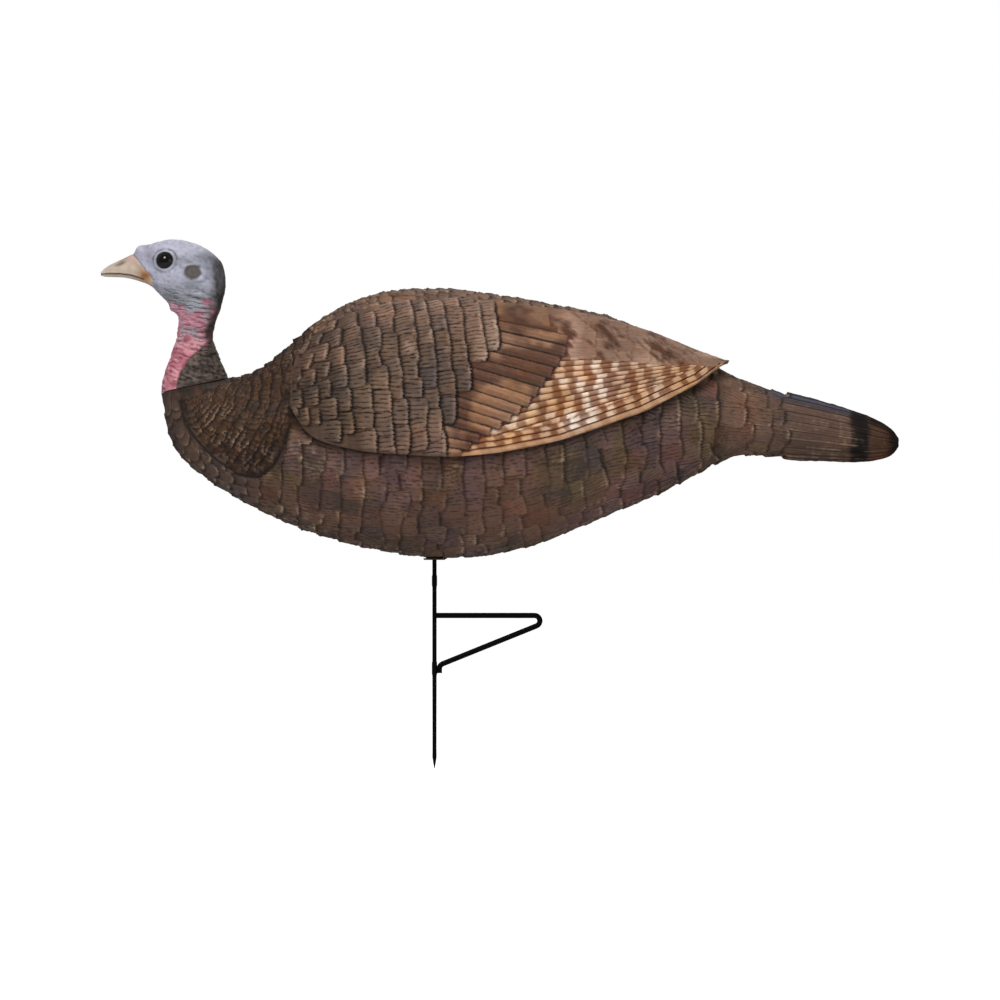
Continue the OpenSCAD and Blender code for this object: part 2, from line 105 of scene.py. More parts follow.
# the wing's edges: body station and angle of the lower edge, then of the upper edge
WING = np.array([
    [5.46, 80, 5.44, 72],
    [6.08, 97, 5.44, 44],
    [6.96, 103, 6.32, 32],
    [7.80, 104, 7.26, 30],
    [8.58, 104, 8.14, 28],
    [9.32, 103, 8.96, 25],
    [9.98, 101, 9.68, 24],
    [10.62, 99, 10.36, 22],
    [11.30, 94, 11.04, 21],
    [12.06, 85, 11.82, 18],
    [12.94, 64, 12.72, 12],
    [13.50, 38, 13.40, 9],
    [13.82, 12, 13.78, 8],
])
EGG = 0.08                        # how much wider the lower half of the body is than the upper
NECK = (63.4, 58.0)               # length and width of the neck's seam
SEAM_SLOPE = math.radians(11.8)
SEAM_SHARE = (-32.7, 63.7)        # its middle, in % of the body's length and depth
SEAM_GAP = 0.6
HEAD_LENGTH, HEAD_WIDTH = 118.0, 45.6
BODY_STEPS = (1.0048, 1.0044, 1.0008)     # how far the CAD's feather steps pass the stations
HEAD_STEPS = 1.001


def spline(rows, u):
    """Catmull-Rom through rows at the fractional rows u; u may be an array."""
    u = np.asarray(u, float)
    last = len(rows) - 1
    i = np.clip(np.floor(u).astype(int), 0, last - 1)
    t = (u - i)[..., None]
    p0, p1 = rows[np.maximum(i - 1, 0)], rows[i]
    p2, p3 = rows[i + 1], rows[np.minimum(i + 2, last)]
    return 0.5 * (2 * p1 + (p2 - p0) * t + (2 * p0 - 5 * p1 + 4 * p2 - p3) * t ** 2
                  + (3 * p1 - p0 - 3 * p2 + p3) * t ** 3)


def section(rows, u, angle, egg=0.0, inset=0.0):
    """Points of the loft at stations u and angles (degrees); angle 0 is the upper point."""
    r = spline(rows, u)
    a = np.radians(angle)
    hx, hz = (r[..., 0] - r[..., 2]) / 2, (r[..., 1] - r[..., 3]) / 2
    keep = 1 - inset / np.maximum(np.hypot(hx, hz), 1e-6)
    x = (r[..., 0] + r[..., 2]) / 2 + hx * keep * np.cos(a)
    z = (r[..., 1] + r[..., 3]) / 2 + hz * keep * np.cos(a)
    y = (r[..., 4] - inset) * np.sin(a) * (1 - egg * np.cos(a))
    return np.stack([x, y, z], -1)


def sized(table, x, z, length, depth, width):
    """A table's stations in mm, measured from (x, z)."""
    return np.c_[x + table[:, 0] * length / 100, z + table[:, 1] * depth / 100,
                 x + table[:, 2] * length / 100, z + table[:, 3] * depth / 100,
                 table[:, 4] / 200 * width]


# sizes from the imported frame
body_lo, body_hi = [np.array(c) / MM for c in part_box("body_shell")]
BODY_LENGTH, BODY_WIDTH, BODY_DEPTH = (body_hi - body_lo) / BODY_STEPS
BELLY = body_lo[2] + 0.02
seam = np.array([SEAM_SHARE[0] * BODY_LENGTH / 100, BELLY + SEAM_SHARE[1] * BODY_DEPTH / 100])
seam_up = np.array([-math.sin(SEAM_SLOPE), math.cos(SEAM_SLOPE)])
seam_back = np.array([math.cos(SEAM_SLOPE), math.sin(SEAM_SLOPE)])
seam_row = np.r_[seam + seam_back * NECK[0] / 2, seam - seam_back * NECK[0] / 2, NECK[1] / 2]
body_rows = sized(BODY, 0, BELLY, BODY_LENGTH, BODY_DEPTH, BODY_WIDTH)
body_rows[0] = seam_row
HEAD_HEIGHT = (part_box("head_shell")[1][2] / MM - seam[1]) / HEAD_STEPS
head_rows = np.vstack([seam_row + SEAM_GAP * np.r_[seam_up, seam_up, 0],
                       sized(HEAD, *seam, HEAD_LENGTH, HEAD_HEIGHT, HEAD_WIDTH)])


# ---------------------------------------------------------------- small numeric helpers
def smooth(t):
    t = np.clip(t, 0, 1)
    return t * t * (3 - 2 * t)


def ramp(v, a, b):
    """0 at a and before it, 1 from b on; b may lie below a."""
    return smooth((v - a) / (b - a))


def bell(d, width):
    return np.exp(-(d / width) ** 2)


def mix(a, b, t):
    t = np.asarray(t)[..., None]
    return a * (1 - t) + b * t


def scatter(v):
    """A value in 0..1 that looks random, for each value."""
    return (np.sin(v) * 43758.5453) % 1.0


def hash3(ix, iy, iz, seed):
    h = (ix * 374761393 + iy * 668265263 + iz * 2147483647 + seed * 1274126177) & 0xFFFFFFFF
    h = ((h ^ (h >> 13)) * 1274126177) & 0xFFFFFFFF
    return ((h ^ (h >> 16)) & 0xFFFF) / 65535.0


def noise(p, size, seed=0):
    """Smooth value noise in 0..1 at points p, with cells of that size."""
    q = p / size
    f = np.floor(q).astype(np.int64)
    t = q - f
    t = t * t * (3 - 2 * t)
    out = 0
    for dx in (0, 1):
        for dy in (0, 1):
            for dz in (0, 1):
                w = (np.where(dx, t[..., 0], 1 - t[..., 0]) * np.where(dy, t[..., 1], 1 - t[..., 1])
                     * np.where(dz, t[..., 2], 1 - t[..., 2]))
                out = out + w * hash3(f[..., 0] + dx, f[..., 1] + dy, f[..., 2] + dz, seed)
    return out


def fbm(p, size, seed=0, octaves=3):
    """Noise with finer and fainter noise added to it, in 0..1."""
    total, scale = 0, 0
    for k in range(octaves):
        total = total + noise(p, size / 2 ** k, seed + 17 * k) * 0.5 ** k
        scale += 0.5 ** k
    return total / scale


def polyline_distance(x, z, pts):
    """Signed distance of (x, z) from an open polyline: positive on its right-hand side, seen from -Y."""
    best = np.full(x.shape, 1e9)
    sign = np.ones(x.shape)
    for (ax, az), (bx, bz) in zip(pts[:-1], pts[1:]):
        dx, dz = bx - ax, bz - az
        t = np.clip(((x - ax) * dx + (z - az) * dz) / (dx * dx + dz * dz), 0, 1)
        ex, ez = x - ax - t * dx, z - az - t * dz
        d = np.hypot(ex, ez)
        near = d < best
        best = np.where(near, d, best)
        sign = np.where(near, np.sign(ex * dz - ez * dx), sign)
    return best * sign


def inside(x, z, pts):
    """True inside a closed polygon."""
    hit = np.zeros(x.shape, bool)
    for (x1, z1), (x2, z2) in zip(pts, pts[1:] + pts[:1]):
        if z1 != z2:
            hit ^= ((z1 > z) != (z2 > z)) & (x < (x2 - x1) * (z - z1) / (z2 - z1) + x1)
    return hit


def side(*pts):
    """Side-view points given as shares of the body: x in % of its length, z in % of its depth."""
    return [(x * BODY_LENGTH / 100, BELLY + z * BODY_DEPTH / 100) for x, z in pts]


def rgb(r, g, b):
    """A linear colour from 0..255 display values."""
    c = np.array([r, g, b]) / 255.0
    return np.where(c < 0.04045, c / 12.92, ((c + 0.055) / 1.055) ** 2.4)


def coats(paint, *layers):
    """Lays colours over the paint one after another, each by its own amount."""
    for color, amount in layers:
        paint = mix(paint, rgb(*color), amount)
    return paint


def shade(paint, factor):
    return paint * factor[..., None]


def pick(mask, a, b):
    """Colours a where the mask is set, and b elsewhere."""
    return np.where(mask[..., None], a, b)


def blur(h, n, wrap):
    """Box blur of a lattice by n cells each way; the second axis wraps if wrap is set."""
    for axis, mode in ((0, "edge"), (1, "wrap" if wrap else "edge")):
        k = 2 * n + 1
        pad = [(0, 0), (0, 0)]
        pad[axis] = (n + 1, n)
        c = np.cumsum(np.pad(h, pad, mode=mode), axis=axis)
        h = (np.take(c, range(k, c.shape[axis]), axis=axis)
             - np.take(c, range(0, c.shape[axis] - k), axis=axis)) / k
    return h


def cavity_of(relief, span, cell, depth, wrap):
    """How far each point lies below its surroundings: 1 in a groove of that depth, -1 on such a ridge."""
    return np.clip((blur(relief, max(int(span / cell), 1), wrap) - relief) / depth, -1, 1)


# ---------------------------------------------------------------- lattices and feather stamping
class Lattice:
    """A grid of surface points with its normals and tangents, and the feathers laid on it."""

    def __init__(self, points, wrap):
        self.p, self.wrap = points, wrap
        du = np.gradient(points, axis=0)
        if wrap:
            dv = (np.roll(points, -1, 1) - np.roll(points, 1, 1)) / 2
        else:
            dv = np.gradient(points, axis=1)
        self.du, self.dv = np.linalg.norm(du, axis=2), np.linalg.norm(dv, axis=2)
        self.t = du / np.maximum(self.du, 1e-9)[..., None]
        n = np.cross(self.t, dv)
        self.n = n / np.maximum(np.linalg.norm(n, axis=2), 1e-9)[..., None]
        self.b = np.cross(self.n, self.t)
        shape = points.shape[:2]
        # height, place on the feather, its own number and tint, nearness to its edge, kind and cuts
        for name in ("h", "along", "across", "edge", "kind", "slot"):
            setattr(self, name, np.zeros(shape))
        self.fid, self.tint = np.full(shape, 0.5), np.full(shape, 0.5)

    def window(self, i, j, ra, rb):
        """Rows and columns of the points within ra along and rb across of (i, j)."""
        ni, nj = self.h.shape
        ci = int(ra / max(self.du[i, j], 0.25)) + 2
        cj = int(rb / max(self.dv[i, j], 0.25)) + 2
        rows = np.arange(max(i - ci, 0), min(i + ci + 1, ni))
        if self.wrap:
            cj = min(cj, nj // 2 - 1)
            cols = np.arange(j - cj, j + cj + 1) % nj
        else:
            cols = np.arange(max(j - cj, 0), min(j + cj + 1, nj))
        return np.ix_(rows, cols)

    def stamp(self, i, j, style, turn=0.0, scale=1.0, tone=None, length=None, power=1.0):
        """Lays a feather with its middle at (i, j), pointing along the rows turned by turn."""
        L = (length or style["length"]) * scale
        W = style["width"] * scale / 2
        reach = max(L / 2, W) * 1.25
        w = self.window(i, j, reach, reach)
        d = self.p[w] - self.p[i, j]
        t, b = self.t[i, j], self.b[i, j]
        ct, st = math.cos(turn), math.sin(turn)
        a = d @ (ct * t + st * b) + L / 2
        q = d @ (ct * b - st * t)
        near = np.abs(d @ self.n[i, j]) < reach
        tip = style["tip"] * W
        fid = rng.random() if tone is None else tone
        ragged = a + style.get("rag", 0.0) * (np.sin(q * 1.9 + fid * 40) + 0.7 * np.sin(q * 3.7 + fid * 90))
        over = np.maximum(ragged - (L - tip), 0) / tip
        shape = (np.abs(q) / W) ** style["square"] + over ** 2
        cover = near & (a > 0) & (shape < 1)
        if not cover.any():
            return
        s = np.clip(a / L, 0, 1)
        h = (style["rise"] * scale ** 0.5 * power * s ** 1.4 - style["dome"] * (q / W) ** 2
             - style.get("lip", 0.0) * shape ** 6)
        if style.get("shaft"):
            h = h + style["shaft"] * bell(q, 0.9) * ramp(s, 0.1, 0.4)
        slot = 0
        if style["barb"]:
            fan = q * (1 + style.get("fan", 0.35) * (1 - s)) / style["pitch"] + fid * 7
            wave = np.abs(np.sin(math.pi * (fan + 0.12 * np.sin(a * 0.33 + fid * 20))))
            part = scatter(np.floor(fan) * 12.9898 + fid * 78.233)
            keep = ramp(np.sin(a * 0.31 + np.floor(fan) * 2.4 + fid * 50), -1.0, -0.2)
            slot = (1 - ramp(wave, 0.0, 0.6)) * (0.25 + part) * keep * ramp(s, 0.1, 0.4) * power
            h = h - style["barb"] * slot
            slot = slot * min(style["barb"], 1.0)
        for name, value in (("h", h), ("along", a), ("across", q), ("edge", shape), ("slot", slot),
                            ("fid", fid), ("tint", rng.random()), ("kind", style["kind"])):
            field = getattr(self, name)
            field[w] = np.where(cover, value, field[w])


def place(lattice, pitch_a, pitch_b, region, row_seed=0, jitter=0.12):
    """Feather places in rows across the lattice, kept a pitch apart and inside the region mask."""
    ni, nj = lattice.h.shape
    line = np.cumsum(np.percentile(lattice.du, 75, axis=1))
    taken = np.zeros((ni, nj), bool)
    out = []
    for k, at in enumerate(np.arange(pitch_a / 2, line[-1], pitch_a)):
        i = int(np.searchsorted(line, at))
        if i >= ni:
            break
        ring = np.cumsum(lattice.dv[i])
        count = max(int(ring[-1] / pitch_b), 3)
        step = ring[-1] / count
        shift = (k % 2) * 0.5 + 0.13 * math.sin(k * 1.7 + row_seed)
        for m in range(count):
            j = int(np.searchsorted(ring, ((m + shift) * step) % ring[-1])) % nj
            stray = rng.normal() * jitter * pitch_a / max(lattice.du[i, j], 0.3)
            ii = int(np.clip(i + stray, 0, ni - 1))
            if not region[ii, j] or taken[ii, j]:
                continue
            out.append((ii, j))
            w = lattice.window(ii, j, pitch_a * 0.62, pitch_b * 0.42)
            d = lattice.p[w] - lattice.p[ii, j]
            a, q = d @ lattice.t[ii, j], d @ lattice.b[ii, j]
            taken[w] |= (np.abs(a) < pitch_a * 0.62) & (np.abs(q) < pitch_b * 0.42)
    return out


def even_stations(rows, count, egg=0.0):
    """Stations spaced evenly by the distance between the rings."""
    fine = np.linspace(0, len(rows) - 1, 1200)
    p = section(rows, fine[:, None], np.arange(0, 360, 12.0)[None, :], egg)
    d = np.linalg.norm(np.diff(p, axis=0), axis=2)
    s = np.r_[0, np.cumsum(0.5 * d.mean(axis=1) + 0.5 * np.percentile(d, 80, axis=1))]
    return np.interp(np.linspace(0, s[-1], count), s, fine)


# ---------------------------------------------------------------- meshes and materials
def grid_faces(ni, nj):
    """Quads over a lattice whose second axis wraps."""
    i, j = np.arange(ni - 1)[:, None], np.arange(nj)[None, :]
    a, b = i * nj + j, i * nj + (j + 1) % nj
    return np.stack([a, b, b + nj, a + nj], -1).reshape(-1, 4)


def closed_mesh(name, rings, first, last, flip=False, gone=None):
    """A closed smooth mesh over rings of points and two end points; gone marks points to leave out."""
    ni, nj = rings.shape[:2]
    quads = grid_faces(ni, nj)
    if gone is not None:
        quads = quads[~gone.reshape(-1)[quads].any(axis=1)]
    j = np.arange(nj)
    k, z, end = (j + 1) % nj, (ni - 1) * nj, np.full(nj, ni * nj)
    caps = np.concatenate([np.stack([j, end, k], 1), np.stack([z + k, end + 1, z + j], 1)])
    turn = -1 if flip else 1
    me = bpy.data.meshes.new(name)
    me.from_pydata((np.vstack([rings.reshape(-1, 3), first, last]) * MM).tolist(), [],
                   quads[:, ::turn].tolist() + caps[:, ::turn].tolist())
    me.update()
    me.shade_smooth()
    ob = bpy.data.objects.new(name, me)
    bpy.context.scene.collection.objects.link(ob)
    return ob


def flat(field, fill, inner_rings=0, last=None):
    """A field for a closed mesh: inner rings and the first end get fill, and the last end last."""
    tail = field.shape[2:]
    fill = np.broadcast_to(np.asarray(fill, float), tail)
    inner = np.broadcast_to(fill, (inner_rings * field.shape[1],) + tail)
    return np.concatenate([inner, field.reshape((-1,) + tail), [fill], [fill if last is None else last]], 0)


def put(ob, name, values):
    """A value for each vertex of a mesh: a number, or a colour."""
    values = np.asarray(values, np.float32)
    if values.ndim == 2:
        attr = ob.data.attributes.new(name, "FLOAT_COLOR", "POINT")
        attr.data.foreach_set("color", np.c_[values, np.ones(len(values), np.float32)].ravel())
    else:
        ob.data.attributes.new(name, "FLOAT", "POINT").data.foreach_set("value", values)


def drop_loose(ob):
    """Removes vertices that no face uses."""
    bm = bmesh.new()
    bm.from_mesh(ob.data)
    bmesh.ops.delete(bm, geom=[v for v in bm.verts if not v.link_faces], context="VERTS")
    bm.to_mesh(ob.data)
    bm.free()


class Shader:
    """A node material wired up by short calls, each of which returns an output socket."""

    def __init__(self, name):
        self.material = bpy.data.materials.new(name)
        self.material.use_nodes = True
        self.nodes, self.links = self.material.node_tree.nodes, self.material.node_tree.links
        self.bsdf = self.nodes["Principled BSDF"]

    def wire(self, value, socket):
        """Sets a socket to a plain value, or links an output to it."""
        if isinstance(value, bpy.types.NodeSocket):
            self.links.new(value, socket)
        else:
            socket.default_value = value

    def node(self, kind, out=0, props=(), **inputs):
        """A node with its properties and inputs set; inputs are named, or numbered as _0, _1 and so on."""
        node = self.nodes.new(kind)
        for key, value in dict(props).items():
            setattr(node, key, value)
        for key, value in inputs.items():
            self.wire(value, node.inputs[int(key[1:]) if key[0] == "_" else key.replace("_", " ")])
        return node.outputs[out]

    def set(self, **inputs):
        for key, value in inputs.items():
            self.wire(value, self.bsdf.inputs[key.replace("_", " ")])

    def math(self, operation, *values):
        return self.node("ShaderNodeMath", 0, {"operation": operation},
                         **{f"_{k}": v for k, v in enumerate(values)})

    def around(self, value, amount, middle):
        """The middle, give or take half the amount as the value runs from 0 to 1."""
        return self.math("MULTIPLY_ADD", self.math("SUBTRACT", value, 0.5), amount, middle)

    def attribute(self, name, out="Fac"):
        return self.node("ShaderNodeAttribute", out, {"attribute_name": name})

    def noise(self, scale, detail=4.0, roughness=0.5, vector=None, out="Fac"):
        vector = vector or self.node("ShaderNodeTexCoord", "Object")
        return self.node("ShaderNodeTexNoise", out, Scale=scale, Detail=detail, Roughness=roughness,
                         Vector=vector)

    def blend(self, a, b, factor, how="MIX"):
        return self.node("ShaderNodeMix", 2, {"data_type": "RGBA", "blend_type": how}, _0=factor, _6=a, _7=b)

    def bump(self, height, strength, distance):
        self.set(Normal=self.node("ShaderNodeBump", 0, Strength=strength, Distance=distance, Height=height))


def painted(name, rough, fiber, grain, gloss=None):
    """Hand-painted moulded plastic: vertex paint broken up by brush grain, patches and fine barbs."""
    s = Shader(name)
    # fine barbs run along each feather: noise stretched along it
    stretched = s.node("ShaderNodeCombineXYZ", 0, _0=s.math("MULTIPLY", s.attribute("along"), 0.12),
                       _1=s.math("MULTIPLY", s.attribute("across"), 1.15),
                       _2=s.math("MULTIPLY", s.attribute("fid"), 60.0))
    fibers = s.noise(1.0, 3.0, 0.65, stretched)
    grains, patch, broad = s.noise(900.0, 3.0, 0.6), s.noise(38.0, 5.0, 0.6), s.noise(9.0, 3.0, 0.6)
    tone = s.math("MULTIPLY", s.math("MULTIPLY", s.around(fibers, fiber * 1.6, 1.0),
                                     s.around(grains, grain, 1.0)), s.around(patch, 0.5, 1.0))
    color = s.node("ShaderNodeHueSaturation", 0, Color=s.attribute("paint", "Color"),
                   Hue=s.around(broad, 0.03, 0.5), Saturation=s.around(patch, 0.5, 1.0), Value=tone)
    roughness = s.around(grains, 0.12, s.around(patch, 0.24, rough))
    if gloss:
        roughness = s.math("MULTIPLY_ADD", s.attribute(gloss), -0.3, roughness)
    s.set(Base_Color=color, Roughness=roughness, Specular_IOR_Level=0.12)
    s.bump(s.math("MULTIPLY_ADD", grains, 0.35, s.math("MULTIPLY", fibers, fiber * 1.4)), 0.55, 0.0006)
    return s.material


def plain(name, color, rough, scale, bump, wear=None, specular=0.5):
    """One finish with noise in its colour and roughness; wear is a second colour in patches."""
    s = Shader(name)
    fine, big = s.noise(scale, 5.0), s.noise(scale / 12, 6.0)
    out = s.blend((*(color * 0.75), 1), (*np.minimum(color * 1.35 + 0.002, 1), 1), fine)
    if wear is not None:
        worn = s.node("ShaderNodeMapRange", 0, Value=big, From_Min=0.62, From_Max=0.7)
        out = s.blend(out, (*wear, 1), worn)
    s.set(Base_Color=out, Specular_IOR_Level=specular,
          Roughness=s.node("ShaderNodeMapRange", 0, Value=big, To_Min=rough - 0.12, To_Max=rough + 0.12))
    s.bump(fine, 0.5, bump)
    return s.material


# ---------------------------------------------------------------- the body
NI, NJ = ((740, 680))
BODY_CELL = 1.1
LOBE = ((-33.4, 50), (-31.3, 42), (-28.9, 36), (-26.3, 31.6), (-23.8, 30.4), (-21.9, 34), (-20.3, 41),
        (-19.6, 48))              # lower outline of the hackle's lobe on the neck's side
TAIL, RUMP_FROM = 15.1, 13.55     # stations
HACKLE = dict(kind=1, length=16, width=6.4, rise=2.3, tip=1.0, dome=0.8, square=2.2, barb=0.25, pitch=2.2,
              rag=0.5)
SCALE = dict(kind=2, length=24, width=20, rise=2.4, tip=0.8, dome=0.9, square=2.6, barb=0.35, pitch=4.2,
             lip=0.5, rag=0.4)
FLANK = dict(kind=3, length=33, width=27, rise=2.5, tip=0.35, dome=0.5, square=4.0, barb=0.9, pitch=4.2,
             lip=0.5, rag=0.5)
BACK = dict(kind=4, length=22, width=18, rise=2.1, tip=0.75, dome=0.8, square=2.8, barb=0.5, pitch=3.4,
            lip=0.5, rag=0.5)
SLOPE = dict(kind=5, length=17, width=11, rise=1.8, tip=0.9, dome=0.8, square=2.4, barb=0.25, pitch=3.0,
             lip=0.3, rag=0.5)
RUMP = dict(kind=6, length=34, width=22, rise=2.3, tip=0.4, dome=0.7, square=3.2, barb=0.7, pitch=3.8,
            lip=0.5, rag=0.5)
TAIL_KIND, TAIL_QUILLS = 7, 22

angles = np.linspace(0, 360, NJ, endpoint=False)
U, A = np.meshgrid(even_stations(body_rows, NI, EGG), angles, indexing="ij")
body = Lattice(section(body_rows, U, -A, EGG), wrap=True)
X, _, Z = np.moveaxis(body.p, 2, 0)
ABS_A = np.minimum(A, 360 - A)    # angle from the back's line, 0..180
xshare, zshare = X / BODY_LENGTH * 100, (Z - BELLY) / BODY_DEPTH * 100

# regions of the body, drawn in the side view
crease = side((-34.9, 66), (-34.4, 58), *LOBE, (-19.2, 56))
neck_side = inside(X, Z, side((-35.4, 72), (-34.7, 60), *LOBE, (-18.6, 58), (-17.0, 68), (-15.5, 76),
                              (-16.0, 84), (-20.0, 84), (-26, 74)))
neck_side |= (ABS_A < 45) & (X < -0.185 * BODY_LENGTH)
tail_mask = U > TAIL
rump = (U > RUMP_FROM) & ~tail_mask
back_top = (ABS_A < 38) & (U > 5.6) & ~rump & ~tail_mask
slope = (ABS_A < 52) & (U <= 7.0) & (X > -0.2 * BODY_LENGTH) & ~neck_side
breast = (~neck_side) & (X < -0.262 * BODY_LENGTH)
breast |= (~neck_side) & (polyline_distance(X, Z, crease) > 0) & (X < -0.24 * BODY_LENGTH) & (ABS_A > 90)
flank = ~(neck_side | rump | tail_mask | back_top | slope | breast)


def tail_quills():
    """Long overlapping tail quills under the coverts, with their shafts and stepped ends."""
    a = A / 360 * TAIL_QUILLS
    n, f = np.floor(a), a - np.floor(a)
    h = 1.5 * (f - 0.5) - 1.1 * (1 - ramp(np.minimum(f, 1 - f), 0.0, 0.10)) + 0.5 * bell(f - 0.5, 0.05)
    body.h = h * ramp(U, 15.0, 15.3) * (1 - 0.6 * ramp(U, 18.3, 19.0))
    body.across, body.along, body.edge = (f - 0.5) * 16, (U - 15) * 30, np.abs(f - 0.5) * 2
    body.fid = scatter(n * 12.9898)
    body.kind[:] = TAIL_KIND


def body_feathers():
    """Feathers from the rump forward, so that each lies over the ones behind it."""
    row_step = np.percentile(body.du, 75, axis=1)
    # they stand out less, low on the rear of the belly
    strength = 1 - 0.6 * np.exp(-((xshare - 14) / 15) ** 2 - ((zshare - 12) / 16) ** 2)
    stamps = []
    for style, pitch_a, pitch_b, region, seed in (
            (HACKLE, 8.0, 5.0, neck_side, 1), (SCALE, 13.5, 16.5, breast, 2), (FLANK, 19.0, 21.5, flank, 3),
            (BACK, 12.5, 15.0, back_top, 4), (SLOPE, 9.5, 9.5, slope, 5), (RUMP, 20.0, 19.0, rump, 6)):
        for i, j in place(body, pitch_a, pitch_b, region, seed, 0.05 if style is HACKLE else 0.12):
            stamps.append((U[i, j] + rng.normal() * 0.012, i, j, style))
    stamps.sort(key=lambda stamp: -stamp[0])
    tail_quills()
    for _, i, j, style in stamps:
        turn = rng.normal() * 0.11
        longer = max(body.du[i, j] / row_step[i], 1.0)
        body.stamp(i, j, style, turn, scale=1 + rng.normal() * 0.08, power=strength[i, j],
                   length=style["length"] * longer)


body_feathers()

# relief: the seam stays smooth, a crease runs round the lobe, and the hackle lies in arcs round the neck
fade = ramp(U, 0.02, 0.5)
crease_d = np.abs(polyline_distance(X, Z, crease))
wander = fbm(body.p, 18, 7)
cut = bell(crease_d + 2.5 * (wander - 0.5), 2.0 + 2.4 * wander) * ramp(ABS_A, 50, 62)
lobe = bell(crease_d, 17.0) * neck_side * (ABS_A > 55)
relief = body.h * fade
relief = relief + 0.8 * (fbm(body.p, 4.2, 3) - 0.5) * fade + 1.6 * (fbm(body.p, 24, 9, 2) - 0.5) * fade
relief = relief - 3.4 * cut * ramp(U, 0.3, 1.2) + 2.6 * lobe * ramp(U, 0.3, 1.2)
(neck_x, neck_z), = side((-36, 70))
arc = np.hypot(X - neck_x, (Z - neck_z) * 0.9) / 9.5 + 1.3 * (fbm(body.p, 26, 121) - 0.5)
ridge = (arc - np.floor(arc)) ** 1.5
# painted shade in the troughs between the hackle's arcs
arc_trough_shade = (1 - ramp(ridge, 0.02, 0.3)) * (0.3 + 1.2 * ramp(fbm(body.p, 14, 123), 0.35, 0.6))
ridged = neck_side * ramp(U, 0.6, 1.6) * ramp(crease_d, 3, 7)
relief = relief + 1.5 * ridged * (ridge - 0.3)
cavity = cavity_of(relief, 4, BODY_CELL, 1.3, True)


def body_paint():
    """Browns by region, the tail's bands, a painted highlight on the ridges and painted shade in the
    grooves.
    """
    p = body.p
    zone, zone2, fine = fbm(p, 55, 11), fbm(p, 34, 23), fbm(p, 8, 5)
    bruise = ramp(fbm(p, 28, 47), 0.56, 0.68)
    band = (ramp(xshare, 56.0 + 1.2 * (fine - 0.5), 57.0)
            * (1 - ramp(xshare, 58.6, 59.6 + 1.5 * (fine - 0.5))))
    tip = ramp(xshare, 58.8, 59.6)
    rim = ramp(xshare, 60.9, 62.6) + tip * (1 - ramp(ABS_A, 30, 60))
    paint = coats(
        rgb(98, 73, 60),
        ((86, 70, 52), ramp(zone, 0.42, 0.62)),
        ((98, 74, 72), ramp(zone2, 0.48, 0.66) * 0.8 * ramp(ABS_A, 60, 110)),
        ((72, 51, 38), (neck_side | slope) * 0.92),
        ((64, 54, 48), (1 - ramp(U + 1.2 * (zone2 - 0.5), 0.5, 1.9)) * 0.85),
        ((80, 62, 54), breast * 0.8),
        ((116, 88, 72), back_top * 0.7),
        ((108, 82, 68), ramp(U, 13.2, 14.0) * 0.7),
        ((92, 72, 62), ramp(U, 14.8, 15.2)),
        ((66, 68, 78), ramp(U, 14.4, 15.3) * (1 - ramp(ABS_A, 30, 52)) * 0.9),
        # some feathers are darker and bluish, and some redder
        ((54, 52, 62), np.clip((body.tint < 0.12) * 0.25 + bruise * 0.3, 0, 0.6)),
        ((112, 62, 50), (body.tint > 0.88) * 0.22),
        ((84, 56, 40), tip),
        ((26, 21, 20), np.clip(band * (0.6 + 0.7 * zone2), 0, 1)),
        ((20, 16, 15), np.clip(rim, 0, 1) * 0.9))
    # painted shade darker below, where less light falls; tone from one feather to the next; and painted
    # shade at each feather's base, under the feather in front
    paint = shade(paint, 1 - 0.35 * ramp(ABS_A, 125, 165) * (1 - tip))
    paint = shade(paint, 0.80 + 0.42 * body.fid)
    paint = shade(paint, 1 - 0.45 * (1 - ramp(body.along, 4, 20)) * (body.kind != TAIL_KIND))
    # painted highlight on the ridges, in broken patches, fainter on the neck's side
    body_ridge_highlight = (ramp(fine, 0.40, 0.66) * (0.35 + 0.9 * ramp(fbm(p, 40, 29), 0.42, 0.62))
               * (1 - 0.55 * neck_side))
    # the wing's lower edge, which shades the body
    under = side((-19.9, 62), (-18.1, 47.4), (-14.3, 42.2), (-8.8, 38.9), (-2.9, 38.2), (4, 37.4), (9, 38.4),
                 (17, 42.8), (28, 53.2), (36, 63.6))
    under_d = np.abs(polyline_distance(X, Z, under))
    return coats(
        paint,
        ((178, 150, 124), np.clip(np.clip(-cavity, 0, 1) * 1.1 * body_ridge_highlight, 0, 0.62)),
        ((26, 18, 15), bell(under_d, 3.2 + 2.0 * wander) * (ABS_A > 50) * 0.75),
        ((26, 18, 14), np.clip(arc_trough_shade * ridged, 0, 1) * 0.6),
        # painted shade in the grooves and the barbs' slots
        ((22, 15, 12), np.clip(cavity * 2.1 + 0.6 * body.slot, 0, 1) * (0.6 + 0.5 * zone2) * 0.86),
        # painted shade in the crease round the lobe
        ((24, 17, 14), np.clip(cut * 0.9, 0, 1) * ramp(U, 0.3, 1.0) * (0.55 + 0.45 * wander)))


def neck_ring(radius, height, around):
    """A circle round the neck's axis, at a height over the seam."""
    e, a = seam + seam_up * height, np.radians(around)
    return np.stack([e[0] + seam_back[0] * radius * np.cos(a), radius * np.sin(a),
                     e[1] + seam_back[1] * radius * np.cos(a)], -1)


def toward_seam(ring):
    """A ring just inside the given one, for a crisp edge at the seam."""
    return ring * 0.985 + np.array([seam[0], 0, seam[1]]) * 0.015


INSIDE = rgb(58, 52, 48)
COLLAR_R, GROMMET_R = 21.75, 8.05
HOLLOW_IN = 10.0                  # the hollow lies deeper than the grooves
HOLLOW_RINGS = 26


